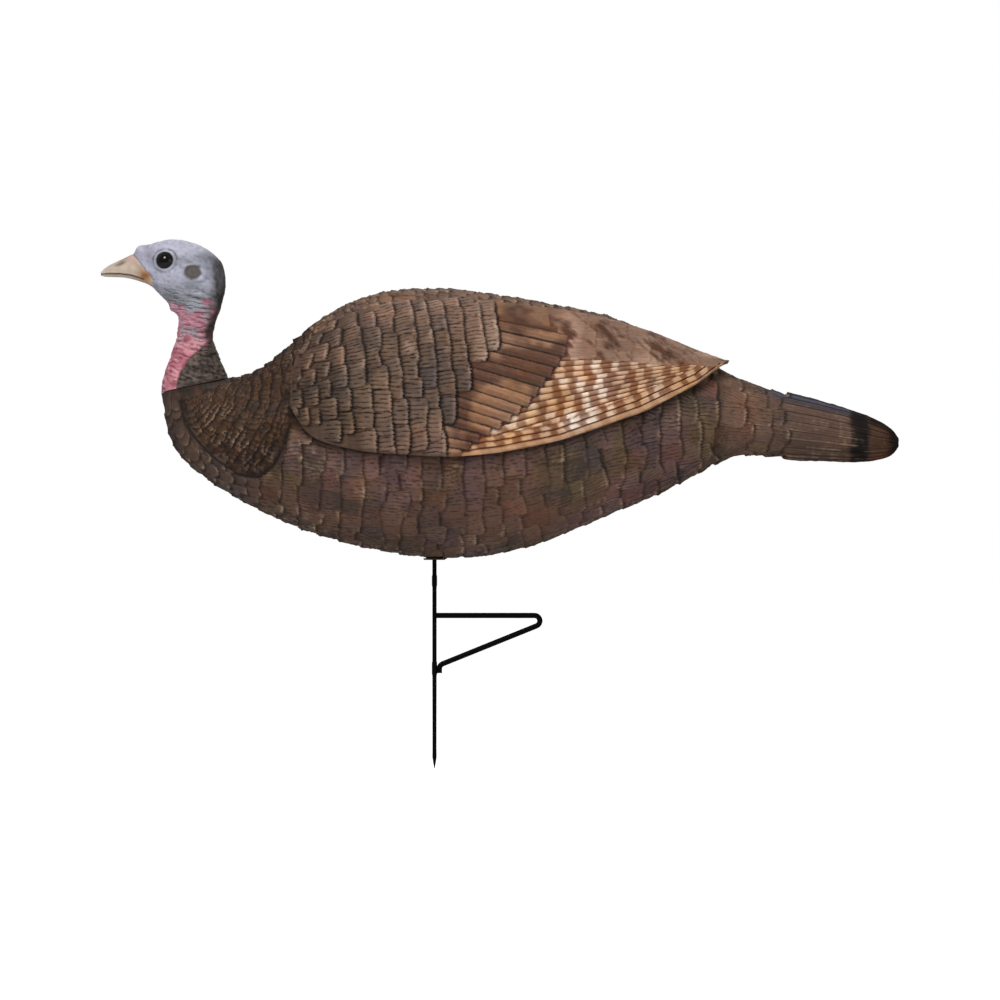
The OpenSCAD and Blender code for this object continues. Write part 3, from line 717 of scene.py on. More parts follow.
def build_body():
    """The outside, and inside it the seam's face, the bore for the collar and the hollow."""
    points = body.p + body.n * relief[..., None]
    # stake hole in the belly: points inside it go, and the ones round it move on to its edge
    r = np.hypot(points[..., 0], points[..., 1])
    low = points[..., 2] < BELLY + 40
    gone = low & (r < GROMMET_R - 0.6)
    near = low & (r >= GROMMET_R - 0.6) & (r < GROMMET_R + 0.75)
    points[near, :2] *= (GROMMET_R / r[near])[:, None]
    hollow = section(body_rows, np.linspace(17.4, 1.9, HOLLOW_RINGS)[:, None], -angles[None, :], EGG,
                     HOLLOW_IN)
    inner = np.stack([*hollow, neck_ring(COLLAR_R, -6.0, -angles), neck_ring(COLLAR_R, -0.3, -angles),
                      neck_ring(COLLAR_R + 0.4, 0.0, -angles), toward_seam(points[0])])
    gone_in = (inner[..., 2] < BELLY + 40) & (np.hypot(inner[..., 0], inner[..., 1]) < GROMMET_R + 3)
    gone_in[HOLLOW_RINGS:] = False
    ob = closed_mesh("moulded_body", np.concatenate([inner, points]), inner[0].mean(axis=0),
                     points[-1].mean(axis=0), gone=np.concatenate([gone_in, gone]))
    put(ob, "paint", flat(np.clip(body_paint(), 0, 1), INSIDE, len(inner)))
    for name, fill in (("along", 0), ("across", 0), ("fid", 0.5)):
        put(ob, name, flat(getattr(body, name), fill, len(inner)))
    drop_loose(ob)
    return ob


feather_paint = painted("painted_feathers", rough=0.74, fiber=0.55, grain=0.3)
body_ob = build_body()
body_ob.data.materials.append(feather_paint)
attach(body_ob, "decoy")
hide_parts("body_shell")

# ---------------------------------------------------------------- the wings
NT, NV = ((500, 230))
WING_CELL = 0.85
WING_THICK, WING_GAP, WING_LIFT = 6.5, 0.6, 8.0
WING_RIM, WING_BACK = 4, 12       # steps down each edge, and across the back
PITCH = 5.6                       # of the rows of quills
QUILL_ANGLE = 0.0262              # between the quills that fan out, in radians
FANS = 14
MANTLE_KIND, FAN_KIND, TERTIAL_KIND, QUILL_KIND = 3, 8, 9, 10
TERTIAL = dict(kind=TERTIAL_KIND, length=38, width=17, rise=0.8, tip=0.9, dome=0.3, square=3.0, barb=0.2,
               pitch=2.6, lip=0.1, shaft=0.25)
FANQ = dict(kind=FAN_KIND, length=66, width=13.5, rise=1.5, tip=0.45, dome=0.3, square=8.0, barb=0.2,
            pitch=2.0, lip=0.9, shaft=0.3, fan=0.1, rag=0.6)
MANTLE = dict(kind=MANTLE_KIND, length=31, width=30, rise=3.6, tip=0.26, dome=0.7, square=4.0, barb=1.2,
              pitch=4.3, lip=0.5, rag=0.5, fan=0.15)


def body_frame(u, ang):
    """Point and outward normal of the smooth body on its +Y side."""
    du = section(body_rows, u + 0.02, ang, EGG) - section(body_rows, u - 0.02, ang, EGG)
    da = section(body_rows, u, ang + 0.5, EGG) - section(body_rows, u, ang - 0.5, EGG)
    n = np.cross(du, da)
    return section(body_rows, u, ang, EGG), n / np.linalg.norm(n, axis=-1)[..., None]


def wing_points(t, v, thick=0.0):
    """Points of the wing at t along it and v up it, that thick over its underside."""
    e = spline(WING, t * (len(WING) - 1))
    u = e[..., 0] + (e[..., 2] - e[..., 0]) * v
    ang = e[..., 1] + (e[..., 3] - e[..., 1]) * v
    p, n = body_frame(u, ang)
    return p + n * (WING_GAP + WING_LIFT * ramp(t, 0.8, 1.0) + thick)[..., None]


def wing_build(t, v):
    """Thickness of the wing, thinner at its ends and its upper edge."""
    return ((0.45 + 0.55 * ramp(t, 0, 0.15)) * (0.5 + 0.5 * ramp(1 - t, 0, 0.2)) * WING_THICK
            * (1 - 0.65 * smooth(v)))


def wing_stations():
    """Shares of the wing's length, evenly spaced along its middle."""
    fine = np.linspace(0, 1, 800)
    mid = wing_points(fine, 0.4 + 0 * fine)
    s = np.r_[0, np.cumsum(np.linalg.norm(np.diff(mid, axis=0), axis=1))]
    s[1:] += np.linspace(0, 6, 799)
    return np.interp(np.linspace(0, s[-1], NT), s, fine)


ts = wing_stations()
T, V = np.meshgrid(ts, np.linspace(0, 1, NV), indexing="ij")
wing = Lattice(wing_points(T, V, wing_build(T, V)), wrap=False)
if wing.n[NT // 2, NV // 2, 1] < 0:
    wing.n, wing.b = -wing.n, -wing.b
WX, WY, WZ = np.moveaxis(wing.p, 2, 0)
wing_x, wing_z = WX / BODY_LENGTH * 100, (WZ - BELLY) / BODY_DEPTH

# side-view lines of the wing
fan_root = side((7.6, 97), (7.2, 79.4), (4.6, 70.5), (1.7, 59), (1.2, 47), (1.7, 37.5))
fan_tip = side((16.5, 90.5), (18.2, 81.5), (17.9, 76.5), (16.4, 69.5), (13.0, 57.5), (9.6, 50), (6.4, 45),
               (3.2, 37.6))
lower_edge = side((-2, 36), (3.6, 37.2), (8.9, 38.9), (17.1, 43.3), (28, 53.7), (36.2, 64.1), (39.9, 71.5))
quill_top = side((16, 75), (17.9, 74.5), (24, 74.0), (30, 73.4), (34.0, 73.6), (37.5, 75.0), (40.5, 73.5))
top_z = np.interp(WX, *np.array(quill_top).T)
low_d = np.abs(polyline_distance(WX, WZ, lower_edge))
mantle = polyline_distance(WX, WZ, fan_root) > 0
fan = (~mantle) & (polyline_distance(WX, WZ, fan_tip) > 0)
quill = ~mantle & ~fan & (top_z + 5 * (fbm(wing.p, 12, 119) - 0.5) >= WZ)
tertial = ~mantle & ~fan & ~quill

# rows of quills: the outer ones follow the lower edge, and the rest fan out from beyond the wing's tip
outer = quill & (low_d < 2.9 * PITCH)
(pivot_x, pivot_z), = side((48, 77))
row = np.where(outer, low_d / PITCH, np.arctan2(pivot_z - WZ, pivot_x - WX) / QUILL_ANGLE)
row_share, row_number = row - np.floor(row), np.floor(row)
row_gap = np.minimum(row_share, 1 - row_share)
quill_h = 1.1 * (0.5 - row_share) - 1.3 * (1 - ramp(row_gap, 0, 0.16)) + 0.25 * bell(row_share - 0.5, 0.07)
wing.h = np.where(quill, quill_h, 0)
wing.across = np.where(quill, (row_share - 0.5) * PITCH, WZ)
wing.along = WX.copy()
wing.fid = np.where(quill, scatter(row_number * 12.9898 + outer * 3.1), 0.5)
wing.kind = np.select([quill, mantle, fan], [QUILL_KIND, MANTLE_KIND, FAN_KIND], TERTIAL_KIND).astype(float)


def along_line(pts, share):
    """The point at a share of a polyline's length."""
    p = np.array(pts)
    d = np.r_[0, np.cumsum(np.hypot(*np.diff(p, axis=0).T))]
    return np.array([np.interp(share * d[-1], d, p[:, 0]), np.interp(share * d[-1], d, p[:, 1])])


def turn_to(i, j, dx, dz):
    """The turn that points a wing's feather along (dx, dz) in the side view."""
    t, b = wing.t[i, j], wing.b[i, j]
    m = np.array([[t[0], b[0]], [t[2], b[2]]])
    c, s = np.linalg.solve(m, np.array([dx, dz])) if abs(np.linalg.det(m)) > 1e-4 else (1, 0)
    return math.atan2(s, c)


def tertials():
    """Broad feathers over the top of the quills, laid from the tip forward."""
    upper = tertial | (quill & (WZ > top_z - 3))
    places = [(wing.p[i, j, 0], i, j) for i, j in place(wing, 17, 11.5, upper, 7)]
    for _, i, j in sorted(places, reverse=True):
        wing.stamp(i, j, TERTIAL, turn_to(i, j, 1.0, -0.10) + rng.normal() * 0.05, 1 + rng.normal() * 0.06)


def greater_coverts():
    """Long feathers that fan out over the quills, the lowest one laid first."""
    for k in range(FANS - 1, -1, -1):
        share = 0.16 + 0.81 * k / (FANS - 1)
        end = along_line(fan_tip, share)
        d = end - along_line(fan_root, share)
        length = float(np.hypot(*d)) + 14
        x, z = end - d / np.hypot(*d) * length / 2
        i, j = np.unravel_index(int(((WX - x) ** 2 + (WZ - z) ** 2).argmin()), WX.shape)
        wing.stamp(i, j, FANQ, turn_to(i, j, d[0], d[1]), 1.0, tone=0.25 + 0.5 * rng.random(), length=length)


def shoulder_coverts():
    """Square feathers in columns, and smaller ones that point straight back at the wing's nose."""
    places = [(T[i, j] + 0.02 * V[i, j], i, j) for i, j in place(wing, 15.5, 20.0, mantle, 9, 0.06)]
    for _, i, j in sorted(places, reverse=True):
        small = 0.72 + 0.28 * float(ramp(wing.p[i, j, 0], -0.19 * BODY_LENGTH, -0.08 * BODY_LENGTH))
        sway = 2.2 * (fbm(wing.p[i, j][None], 22, 87)[0] - 0.5)
        nose = float(1 - ramp(T[i, j], 0.10, 0.26))
        aim = turn_to(i, j, 1.0, 0.1) * nose
        wing.stamp(i, j, MANTLE, rng.normal() * 0.06 + 0.16 * sway + aim,
                   small * (1 - 0.25 * nose) * (1 + rng.normal() * 0.06), length=MANTLE["length"] + 5 * sway)


tertials()
greater_coverts()
shoulder_coverts()
inward = ramp(V, 0, 0.03) * ramp(1 - V, 0, 0.03) * ramp(T, 0, 0.02) * ramp(1 - T, 0, 0.02)
wing_relief = wing.h * (0.25 + 0.75 * inward) + 0.3 * (fbm(wing.p, 2.8, 3, 2) - 0.5)
wing_cavity = cavity_of(wing_relief, 4, WING_CELL, 1.3, False)


def wing_paint():
    """Brown shoulder, rust-brown fan, barred pale quills, and strokes of brown on the tan tertials."""
    p = wing.p
    zone, zone2, fine = fbm(p, 50, 31), fbm(p, 26, 37), fbm(p, 7, 51)
    is_fan, is_quill, is_tertial = [wing.kind == k for k in (FAN_KIND, QUILL_KIND, TERTIAL_KIND)]
    brown = coats(
        rgb(106, 82, 68),
        ((90, 71, 57), ramp(zone, 0.4, 0.62)),
        # painted highlight, paler towards the top of the wing
        ((122, 98, 84), ramp(wing_z, 0.76, 0.95) * 0.5),
        ((54, 50, 54), np.clip((wing.tint < 0.14) * 0.35 + ramp(fbm(p, 20, 97), 0.54, 0.66) * 0.3, 0, 0.6)),
        # painted highlight on the raised tips of the upper shoulder feathers
        ((146, 120, 104), ramp(wing.along, 15, 27) * ramp(fbm(p, 24, 113), 0.5, 0.64)
         * ramp(wing_z, 0.55, 0.8) * 0.55))
    # painted shade at the base of each shoulder feather, under the tip of the one in front
    brown = shade(brown, 1 - 0.45 * (wing.kind == MANTLE_KIND)
                  * (1 - ramp(wing.along + 6 * (fine - 0.5), 9, 21)))
    rust = coats(rgb(84, 57, 44), ((132, 97, 74), ramp(zone2, 0.40, 0.62)))
    rust = shade(rust, 0.85 + 0.4 * ramp(wing.across, 4, -4))
    rust_line = ramp(np.abs(wing.across) + 1.0 * (fine - 0.5), 4.9, 6.1) * ramp(wing.along, 10, 26)
    rust = coats(rust, ((24, 15, 12), rust_line * (wing.edge > 0) * 0.9))
    phase = (WX + 2.2 * np.sin(row_number * 2.1) + 16.0 * (zone2 - 0.5) + 5.0 * (fine - 0.5)
             + np.where(outer, 0.5, 0.25) * (WZ - BELLY)) / 18.0
    bars = ramp(np.sin(2 * math.pi * phase) + 1.2 * (fine - 0.5), -0.6, 0.6)
    barred = coats(
        rgb(180, 142, 108),
        # painted highlight in pale patches over the middle of the quills
        ((222, 206, 190), 0.85 * ramp(zone2, 0.36, 0.62) * bell(wing_x - 17, 11)),
        ((106, 62, 36), bars * (0.98 - 0.35 * zone)),
        ((166, 128, 96), (quill & (low_d < PITCH * 0.95)) * 0.75))
    stroke = np.stack([(WX + 0.9 * WZ) / 2.4, WY * 0.3, (WZ - 0.9 * WX) / 11.0], -1)
    tan = coats(
        rgb(128, 99, 82),
        ((166, 134, 114), ramp(zone, 0.4, 0.6)),
        ((70, 44, 32), ramp(0.75 * fbm(stroke, 5.2, 61) + 0.25 * fbm(p, 9, 67), 0.46, 0.62) * 0.95),
        ((96, 68, 54), (1 - ramp(wing_x, 14, 19)) * 0.9))
    paint = shade(pick(is_tertial, tan, pick(is_quill, barred, pick(is_fan, rust, brown))),
                  0.87 + 0.28 * wing.fid)
    tips = is_fan * ramp(wing.edge, 0.35, 0.8) * ramp(wing.along, 40, 52)
    paint = coats(paint, ((46, 48, 58), tips * 0.75))
    # painted highlight on the ridges
    wing_ridge_highlight = np.clip(np.clip(-wing_cavity, 0, 1) * ramp(fine, 0.35, 0.6), 0, 0.75)
    paint = mix(paint, np.minimum(paint * 1.75 + 0.03, 1), wing_ridge_highlight)
    # painted shade in the grooves and the barbs' slots, and dark seams between the rows of quills
    seams = is_quill * (1 - ramp(row_gap, 0.03, 0.15)) * (0.55 + 0.9 * (zone2 - 0.3))
    grooves = np.clip(wing_cavity * 2.0 + 0.75 * wing.slot + 0.8 * seams, 0, 1) * 0.88
    return mix(paint, pick(is_quill | is_tertial, rgb(88, 42, 22), rgb(18, 12, 10)), grooves)


wing_colors = np.clip(wing_paint(), 0, 1)


def build_wing(name, side_y):
    """The right wing's closed mesh, or with side_y -1 its mirror image."""
    top = wing.p + wing.n * wing_relief[..., None]
    steps = np.arange(WING_RIM, 0, -1) / WING_RIM

    def rim(edge, base, shares):
        return [edge * (1 - k) + base * k for k in shares]

    low = rim(top[:, :1], wing_points(T[:, :1], V[:, :1]), steps)
    high = rim(top[:, -1:], wing_points(T[:, -1:], V[:, -1:]), steps[::-1])
    back = wing_points(*np.meshgrid(ts, np.linspace(1, 0, WING_BACK + 2)[1:-1], indexing="ij"))
    ring = np.concatenate([*low, top, *high, back], 1)
    mirror = np.array([1, side_y, 1])
    ob = closed_mesh(name, ring * mirror, ring[0].mean(axis=0) * mirror, ring[-1].mean(axis=0) * mirror,
                     flip=side_y > 0)

    def spread(field):
        near, far = field[:, :1], field[:, -1:]
        full = np.concatenate([near] * WING_RIM + [field] + [far] * WING_RIM + [near] * WING_BACK, 1)
        return flat(full, full[0, 0], last=full[-1, -1])

    put(ob, "paint", spread(wing_colors))
    for attr in ("along", "across", "fid"):
        put(ob, attr, spread(getattr(wing, attr)))
    ob.data.materials.append(feather_paint)
    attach(ob, "decoy")
    return ob


right = build_wing("moulded_wing_right", 1)
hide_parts("right_wing")
left = build_wing("moulded_wing_left", -1)
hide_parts("left_wing")

# ---------------------------------------------------------------- the head
HI, HJ = ((330, 260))
HEAD_CELL = 0.55
EYE_STATION, EYE_ANGLE, EYE_D, EYE_BULGE, EYE_SEAT = 9.58, 84.0, 14.6, 3.4, 2.0
LID_R = EYE_D / 2 + 1.4
BORE_R, BORE_DEPTH = 18.1, 14.0
HEAD_WALL = 3.0
HEAD_HACKLE = dict(kind=1, length=11, width=7.5, rise=0.9, tip=0.9, dome=0.4, square=2.4, barb=0.0)

hang = np.linspace(0, 360, HJ, endpoint=False)
HU, HA = np.meshgrid(even_stations(head_rows, HI), hang, indexing="ij")
head = Lattice(section(head_rows, HU, HA), wrap=True)
if head.n[HI // 2, HJ // 4, 1] < 0:
    head.n = -head.n
HX, HY, HZ = np.moveaxis(head.p, 2, 0)
hx = (HX - seam[0]) / HEAD_LENGTH * 100     # shares of the head, from the seam's middle
hz = (HZ - seam[1]) / HEAD_HEIGHT * 100
HAB = np.minimum(HA, 360 - HA)              # 0 at the back and crown, 180 at the throat


def away(x, z, upright=1.0):
    """Distance in mm from a side-view point of the head, given in shares."""
    return np.hypot((hx - x) * HEAD_LENGTH / 100, (hz - z) * HEAD_HEIGHT / 100 * upright)


# eye: the same cap of a ball as the CAD piece
ball = ((EYE_D / 2) ** 2 + EYE_BULGE ** 2) / (2 * EYE_BULGE)
eye_p = section(head_rows, EYE_STATION, EYE_ANGLE)
eye_n = np.cross(
    section(head_rows, EYE_STATION, EYE_ANGLE + 2) - section(head_rows, EYE_STATION, EYE_ANGLE - 2),
    section(head_rows, EYE_STATION + 0.1, EYE_ANGLE) - section(head_rows, EYE_STATION - 0.1, EYE_ANGLE))
eye_n = eye_n / np.linalg.norm(eye_n) * np.sign(eye_n[1])
eye_d = np.linalg.norm(head.p * np.where(HY[..., None] < 0, np.array([1, -1, 1]), 1) - eye_p, axis=2)
eye_x, eye_z = (eye_p[0] - seam[0]) / HEAD_LENGTH * 100, (eye_p[2] - seam[1]) / HEAD_HEIGHT * 100

# where the beak, mouth, nostril, ear, dewlap and hackle lie
beak_from = -47.7 + 0.91 * np.clip(89.4 - hz, -2, 17)      # its edge slants back to the gape
skin = 1 - ramp(beak_from - hx, -0.8, 0.8) * (hz > 60)
beak = 1 - skin
throat = ramp(-hz, -72, -58) * ramp(HAB, 25, 60)
mouth_z = np.interp(hx, [-74, -66, -58, -50, -44, -40], [76.2, 76.4, 76.3, 75.4, 73.9, 72.6])
mouth_up = (hz - mouth_z) * HEAD_HEIGHT / 100
mouth = bell(mouth_up, 0.75) * (hx < -38.5) * (HAB > 25) * ramp(-hx, 38.5, 41)
nostril_x, nostril_z = (hx + 58.5) * HEAD_LENGTH / 100, (hz - 83.6) * HEAD_HEIGHT / 100
nostril = np.exp(-((0.94 * nostril_x + 0.34 * nostril_z) / 5.0) ** 2
                 - ((0.94 * nostril_z - 0.34 * nostril_x) / 1.7) ** 2) * (HAB > 25) * (HAB < 120)
ear = away(-0.6, 77.6, 1.2)
ear_edge = 8.8 + 3.2 * (noise(head.p, 5, 83) - 0.5)
dewlap = bell(away(-17.5, 52.8), 5.2) * ramp(HAB, 125, 160)
hackle_line = side((-27.5, 86.5), (-30.3, 80.5), (-33.4, 73.8), (-34.6, 68.5), (-35.0, 64))
bound_d = polyline_distance(HX, HZ, hackle_line)
hackle = bound_d < 0


def hind_neck():
    """Small rows of hackle down the hind neck; the lattice is turned round for them, as they point down."""
    head.t, head.b = -head.t, -head.b
    places = [(HU[i, j], i, j) for i, j in place(head, 6.4, 6.2, hackle, 3)]
    for _, i, j in sorted(places):
        head.stamp(i, j, HEAD_HACKLE, rng.normal() * 0.15, 1.0)


def head_relief():
    """Lids, brow, wrinkles, cheek, ear, dewlap, snood, mouth and nostril, fading out at the seam."""
    p = head.p
    h = 0.75 * bell(eye_d - LID_R, 1.3)
    h -= 0.45 * bell(eye_d - LID_R - 2.9, 1.3) * (0.4 + 0.6 * (hz > eye_z))
    h -= 2.0 * np.exp(-(eye_d / (EYE_D / 2 - 0.6)) ** 6)
    h += 0.8 * bell(hz - eye_z - 9.5 + 0.02 * (hx - eye_x) ** 2, 1.6) * bell(hx - eye_x, 9) * (HAB > 35)
    # fine lines run round the throat and down the neck, coarser below
    folds = fbm(np.stack([HX * 0.32, HY * 0.5, HZ + 0.22 * HX], -1), 5.0, 73) - 0.5
    lines = np.abs(np.sin(math.pi * (HZ + 0.25 * HX + 9 * (fbm(p, 14, 71) - 0.5)) / 4.4))
    h += skin * (folds * 3.2 * (0.3 + throat)
                 - (1 - ramp(lines, 0, 0.45)) * throat * ramp(fbm(p, 9, 75), 0.3, 0.6))
    h += skin * 0.7 * (fbm(p, 2.6, 79) - 0.5)
    h += 1.2 * bell(away(-27, 70), 7) * (HAB > 60) * skin
    h -= 1.0 * bell(away(-37, 74), 3.4) * (HAB > 50)
    h -= 0.9 * (1 - ramp(ear, ear_edge - 2.5, ear_edge)) * (HAB > 30)
    h += 0.3 * bell(ear - ear_edge - 1.3, 1.6) * (HAB > 30)
    h += 4.6 * dewlap + 2.2 * bell(away(-42.5, 93), 4.6)
    h += 0.35 * bell(mouth_up - 1.9, 0.9) * (hx < -41) - 1.1 * mouth - 1.0 * nostril
    h -= 0.6 * bell(hx - beak_from - 1.4 * (noise(p, 4, 91) - 0.5), 1.1) * (hz > 72)
    h += head.h * hackle - 0.5 * bell(bound_d, 1.5) * (hz < 40)
    return h * ramp(HU, 0.0, 0.35)


def head_paint(cavity):
    """Blue-grey skin, a pink neck with grey mottling, horn-coloured beak and grey-brown hackle."""
    p = head.p
    n1, n2 = fbm(p, 16, 101), fbm(p, 6, 103)
    patch = away(9.9, 57, 1.7)
    pink = coats(rgb(150, 88, 100), ((180, 122, 131), ramp(n2, 0.35, 0.65)),
                 ((168, 122, 136), ramp(hz, 34, 44) * 0.7))
    pink = shade(pink, 0.72 + 0.55 * fbm(p, 4, 109))
    pink_zone = ramp(-hz - 0.05 * hx + 12 * (n1 - 0.5), -54.5, -51.0)
    mottle = ramp(n2 * 0.6 + n1 * 0.4, 0.52, 0.58) * ramp(hz, 26, 36)
    paint = coats(
        rgb(156, 156, 171),
        ((130, 132, 143), ramp(n1, 0.40, 0.62)),
        ((170, 168, 182), ramp(hz, 86, 97) * 0.6),
        ((118, 121, 124), ramp(-hz, -72, -60) * 0.65),
        ((128, 122, 138), bell(away(-36, 90), 7) * 0.6))
    paint = mix(paint, pink, pink_zone * (1 - 0.75 * mottle))
    paint = coats(paint, ((166, 98, 116), 0.85 * (1 - ramp(patch + 4 * (n2 - 0.5), 4.5, 6.5))))
    paint = mix(paint, pink, np.clip(dewlap * 1.5, 0, 1) * 0.9)
    feathers = shade(coats(rgb(66, 56, 50), ((82, 71, 64), ramp(n2, 0.4, 0.6))), 0.75 + 0.5 * head.fid)
    paint = mix(paint, feathers, ramp(-bound_d + 5 * (n2 - 0.5), -1.2, 0.8) * (hz < 40))
    nape = (1 - ramp(HAB + 50 * (n1 - 0.5), 36, 66)) * ramp(hz, 24, 34) * (1 - ramp(hz, 84, 92))
    ear_in = (1 - ramp(ear + 5 * (n2 - 0.5), ear_edge - 2.4, ear_edge + 0.6)) * (HAB > 30)
    paint = coats(
        paint,
        ((50, 45, 42), np.clip(nape, 0, 1) * np.clip(0.62 + 0.5 * n2, 0, 1)),
        ((78, 66, 54), ear_in * (0.75 + 0.25 * n2)),
        ((100, 92, 84), bell(away(-2.6, 86), 4.5) * ramp(n2, 0.35, 0.6) * 0.6))
    horn = shade(coats(
        rgb(160, 144, 126),
        ((182, 166, 150), ramp(n1, 0.4, 0.6)),
        ((184, 150, 142), bell(away(-48, 88), 6) * 0.8),
        ((142, 92, 40), bell(away(-38.6, 75.2), 6.5) * 0.95),
        ((190, 178, 162), ramp(-hx, 68, 73) * 0.6)), 0.82 + 0.3 * n2)
    paint = coats(
        mix(paint, horn, beak),
        ((104, 94, 82), np.clip(nostril * 1.5, 0, 1) * 0.85),
        ((60, 38, 26), mouth * 0.9),
        ((46, 38, 33), beak * ramp(HAB, 158, 172) * 0.75))
    # painted shade in the wrinkles of the skin, and darker still between the hackle's feathers
    grooves = np.clip(cavity * 1.6, 0, 1)
    wrinkle_shade = pick(pink_zone > 0.5, rgb(96, 56, 66), rgb(68, 68, 76))
    paint = mix(paint, wrinkle_shade, grooves * 0.75 * skin * ~hackle)
    paint = coats(paint, ((24, 20, 19), grooves * 0.8 * hackle))
    # painted highlight on the ridges
    paint = mix(paint, np.minimum(paint * 1.35 + 0.03, 1), np.clip(-cavity, 0, 1) * 0.7)
    return coats(paint, ((34, 30, 34), bell(eye_d - EYE_D / 2 - 0.1, 1.1) * 0.9),
                 ((20, 17, 17), eye_d < EYE_D / 2 - 0.4))


def build_head():
    """The outside, and inside it the neck's bore and a plain hollow."""
    relief = head_relief()
    points = head.p + head.n * relief[..., None]
    hollow = section(head_rows, np.linspace(11.4, 1.15, 16)[:, None], hang[None, :], 0.0, HEAD_WALL)
    inner = np.stack([*hollow, neck_ring(BORE_R, BORE_DEPTH, hang), neck_ring(BORE_R, SEAM_GAP + 0.3, hang),
                      neck_ring(BORE_R + 0.4, SEAM_GAP, hang), toward_seam(points[0])])
    ob = closed_mesh("painted_head", np.concatenate([inner, points]), inner[0].mean(axis=0),
                     points[-1].mean(axis=0), flip=True)
    paint = head_paint(cavity_of(relief, 2.5, HEAD_CELL, 0.7, True))
    for name, field, fill in (("paint", np.clip(paint, 0, 1), INSIDE), ("along", HZ * 0.3, 0),
                              ("across", HX * 0.3 + HY * 0.2, 0), ("fid", 0.5 + 0 * HX, 0.5),
                              ("shine", np.clip(beak, 0, 1), 0)):
        put(ob, name, flat(field, fill, len(inner), last=field[-1, -1]))
    return ob


hind_neck()
head_ob = build_head()
head_ob.data.materials.append(painted("painted_skin", rough=0.62, fiber=0.12, grain=0.16, gloss="shine"))
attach(head_ob, "head")
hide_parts("head_shell")

# ---------------------------------------------------------------- the eyes
EYE_RINGS, EYE_SEGMENTS = 24, 56


def eye_finish():
    """Glossy near-black, with a faint brown ring round the pupil."""
    s = Shader("glossy_eye")
    ramp_node = s.nodes.new("ShaderNodeValToRGB")
    first, last = ramp_node.color_ramp.elements
    first.position, first.color = 0.0, (0.002, 0.002, 0.003, 1)
    last.position, last.color = 1.0, (0.003, 0.002, 0.002, 1)
    for place_on, color in ((0.55, (0.002, 0.002, 0.002, 1)), (0.68, (0.010, 0.005, 0.003, 1)),
                            (0.84, (0.008, 0.004, 0.003, 1)), (0.93, (0.002, 0.002, 0.002, 1))):
        ramp_node.color_ramp.elements.new(place_on).color = color
    s.wire(s.attribute("ring"), ramp_node.inputs["Fac"])
    s.set(Base_Color=s.blend(ramp_node.outputs["Color"], s.noise(700, 2.0, out="Color"), 0.5, "MULTIPLY"),
          Roughness=0.08, Specular_IOR_Level=0.14, Coat_Weight=0.12, Coat_Roughness=0.03)
    return s.material


def build_eye(name, side_y):
    """A cap of a ball with a flat back."""
    mirror = np.array([1, side_y, 1])
    n, c = eye_n * mirror, (eye_p - eye_n * (ball - EYE_BULGE)) * mirror
    x = np.cross([0, 0, 1.0], n)
    x /= np.linalg.norm(x)
    y = np.cross(n, x)
    seat = ball - EYE_BULGE - EYE_SEAT
    th = (math.acos(seat / ball) * np.arange(1, EYE_RINGS + 1) / EYE_RINGS)[:, None, None]
    ph = (2 * math.pi * np.arange(EYE_SEGMENTS) / EYE_SEGMENTS)[None, :, None]
    rings = c + ball * (np.cos(th) * n + np.sin(th) * (np.cos(ph) * x + np.sin(ph) * y))
    ob = closed_mesh(name, rings, c + n * ball, c + n * seat, flip=True)
    out = np.repeat(np.sin(th[..., 0]) * ball / (EYE_D / 2), EYE_SEGMENTS, axis=1)
    put(ob, "ring", flat(out, 0, last=1.5))
    ob.data.materials.append(eye_gloss)
    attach(ob, "head")
    return ob


eye_gloss = eye_finish()
left_eye = build_eye("glass_eye_left", -1)
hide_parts("left_eye")
right_eye = build_eye("glass_eye_right", 1)
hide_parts("right_eye")

# ---------------------------------------------------------------- CAD nodes that keep their shape
steel = plain("black_stake_paint", rgb(3, 3, 3), 0.55, 500, 0.00012, wear=rgb(8, 8, 7), specular=0.03)
plastic = plain("dark_plastic", INSIDE, 0.6, 500, 0.0001)
rubber = plain("black_rubber", rgb(32, 31, 31), 0.75, 700, 0.0001)
washed = plain("washed_rubber", rgb(44, 33, 27), 0.75, 700, 0.0001, specular=0.1)
tube = plain("tube_plastic", rgb(196, 190, 176), 0.45, 400, 0.00005)
for finish, names in ((steel, ("ground_stake", "foot_bar")), (rubber, ("grip_ring",)),
                      (plastic, ("stake_cap", "back_cup", "neck_collar", "neck_spigot")),
                      (washed, ("belly_grommet",)), (tube, ("stake_tube",))):
    for name in names:
        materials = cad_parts[name].data.materials
        materials.clear()
        materials.append(finish)

# ---------------------------------------------------------------- stage, light, camera
WIDE, DISTANCE = 0.925, 7.0       # metres across the picture at the stake, and to the camera
CENTRE_X, CENTRE_Z = 0.0606, 0.1628
SENSOR = 36.0
LIT_BY_SKY, SEEN_SKY, FLOOR_GLOW = 0.42, 1.0, 0.72

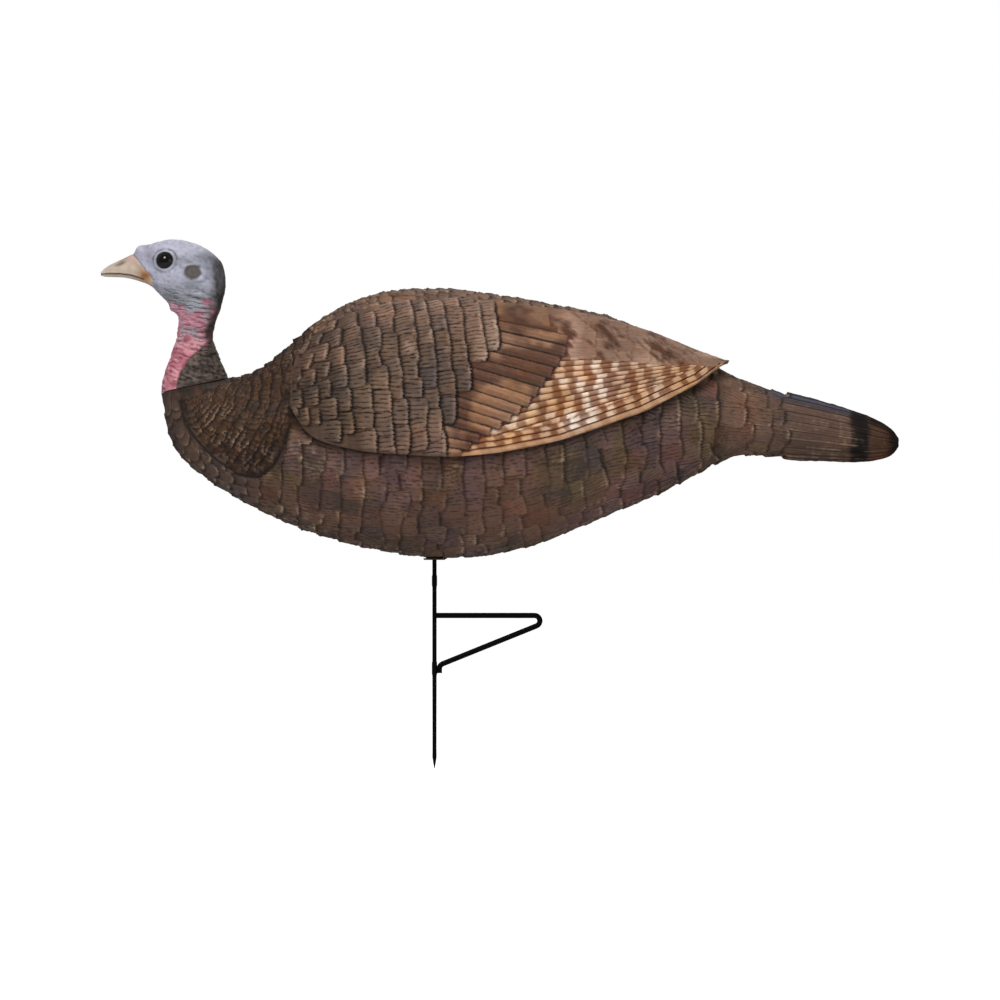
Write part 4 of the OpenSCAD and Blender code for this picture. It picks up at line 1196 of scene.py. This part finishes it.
bpy.ops.mesh.primitive_plane_add(size=30, location=(0, 0, min(c[2] for c in CAD_BOX)))
floor = bpy.context.object
floor.name = "floor"
pale = Shader("pale_floor")
# seen directly the floor glows a little, to fade into the pale background, and it lights nothing
glow = pale.math("MULTIPLY", pale.node("ShaderNodeLightPath", "Is Camera Ray"), FLOOR_GLOW)
pale.set(Base_Color=(0.8, 0.8, 0.8, 1), Roughness=0.95, Specular_IOR_Level=0.0,
         Emission_Color=(1, 1, 1, 1), Emission_Strength=glow)
floor.data.materials.append(pale.material)

world = bpy.data.worlds.new("studio")
bpy.context.scene.world = world
world.use_nodes = True
nodes, links = world.node_tree.nodes, world.node_tree.links
sky_range = nodes.new("ShaderNodeMapRange")
sky_range.inputs["To Min"].default_value = LIT_BY_SKY
sky_range.inputs["To Max"].default_value = SEEN_SKY
links.new(nodes.new("ShaderNodeLightPath").outputs["Is Camera Ray"], sky_range.inputs["Value"])
links.new(sky_range.outputs["Result"], nodes["Background"].inputs["Strength"])
nodes["Background"].inputs["Color"].default_value = (1, 1, 1, 1)


def add(name, data, location):
    ob = bpy.data.objects.new(name, data)
    bpy.context.scene.collection.objects.link(ob)
    ob.location = location
    return ob


for name, location, target, size, power in (
        ("key", (-0.7, -1.5, 1.9), (0, 0, 0.22), (0.7, 0.7), 44),
        ("fill", (1.8, -1.7, 0.7), (0.1, 0, 0.2), (1.4, 1.2), 9),
        ("back", (0.3, 1.8, 1.8), (0, 0, 0.25), (1.6, 1.0), 16)):
    light = bpy.data.lights.new(name, "AREA")
    light.shape = "RECTANGLE"
    light.size, light.size_y = size
    light.energy = power
    aim = (Vector(target) - Vector(location)).to_track_quat("-Z", "Y")
    add(name, light, location).rotation_euler = aim.to_euler()

lens = bpy.data.cameras.new("camera")
lens.sensor_width, lens.lens, lens.clip_end = SENSOR, SENSOR * DISTANCE / WIDE, 60
camera = add("camera", lens, (CENTRE_X, -DISTANCE, CENTRE_Z))
camera.rotation_euler = (math.radians(90), 0, 0)
bpy.context.scene.camera = camera
bpy.context.scene.view_settings.view_transform = "Standard"
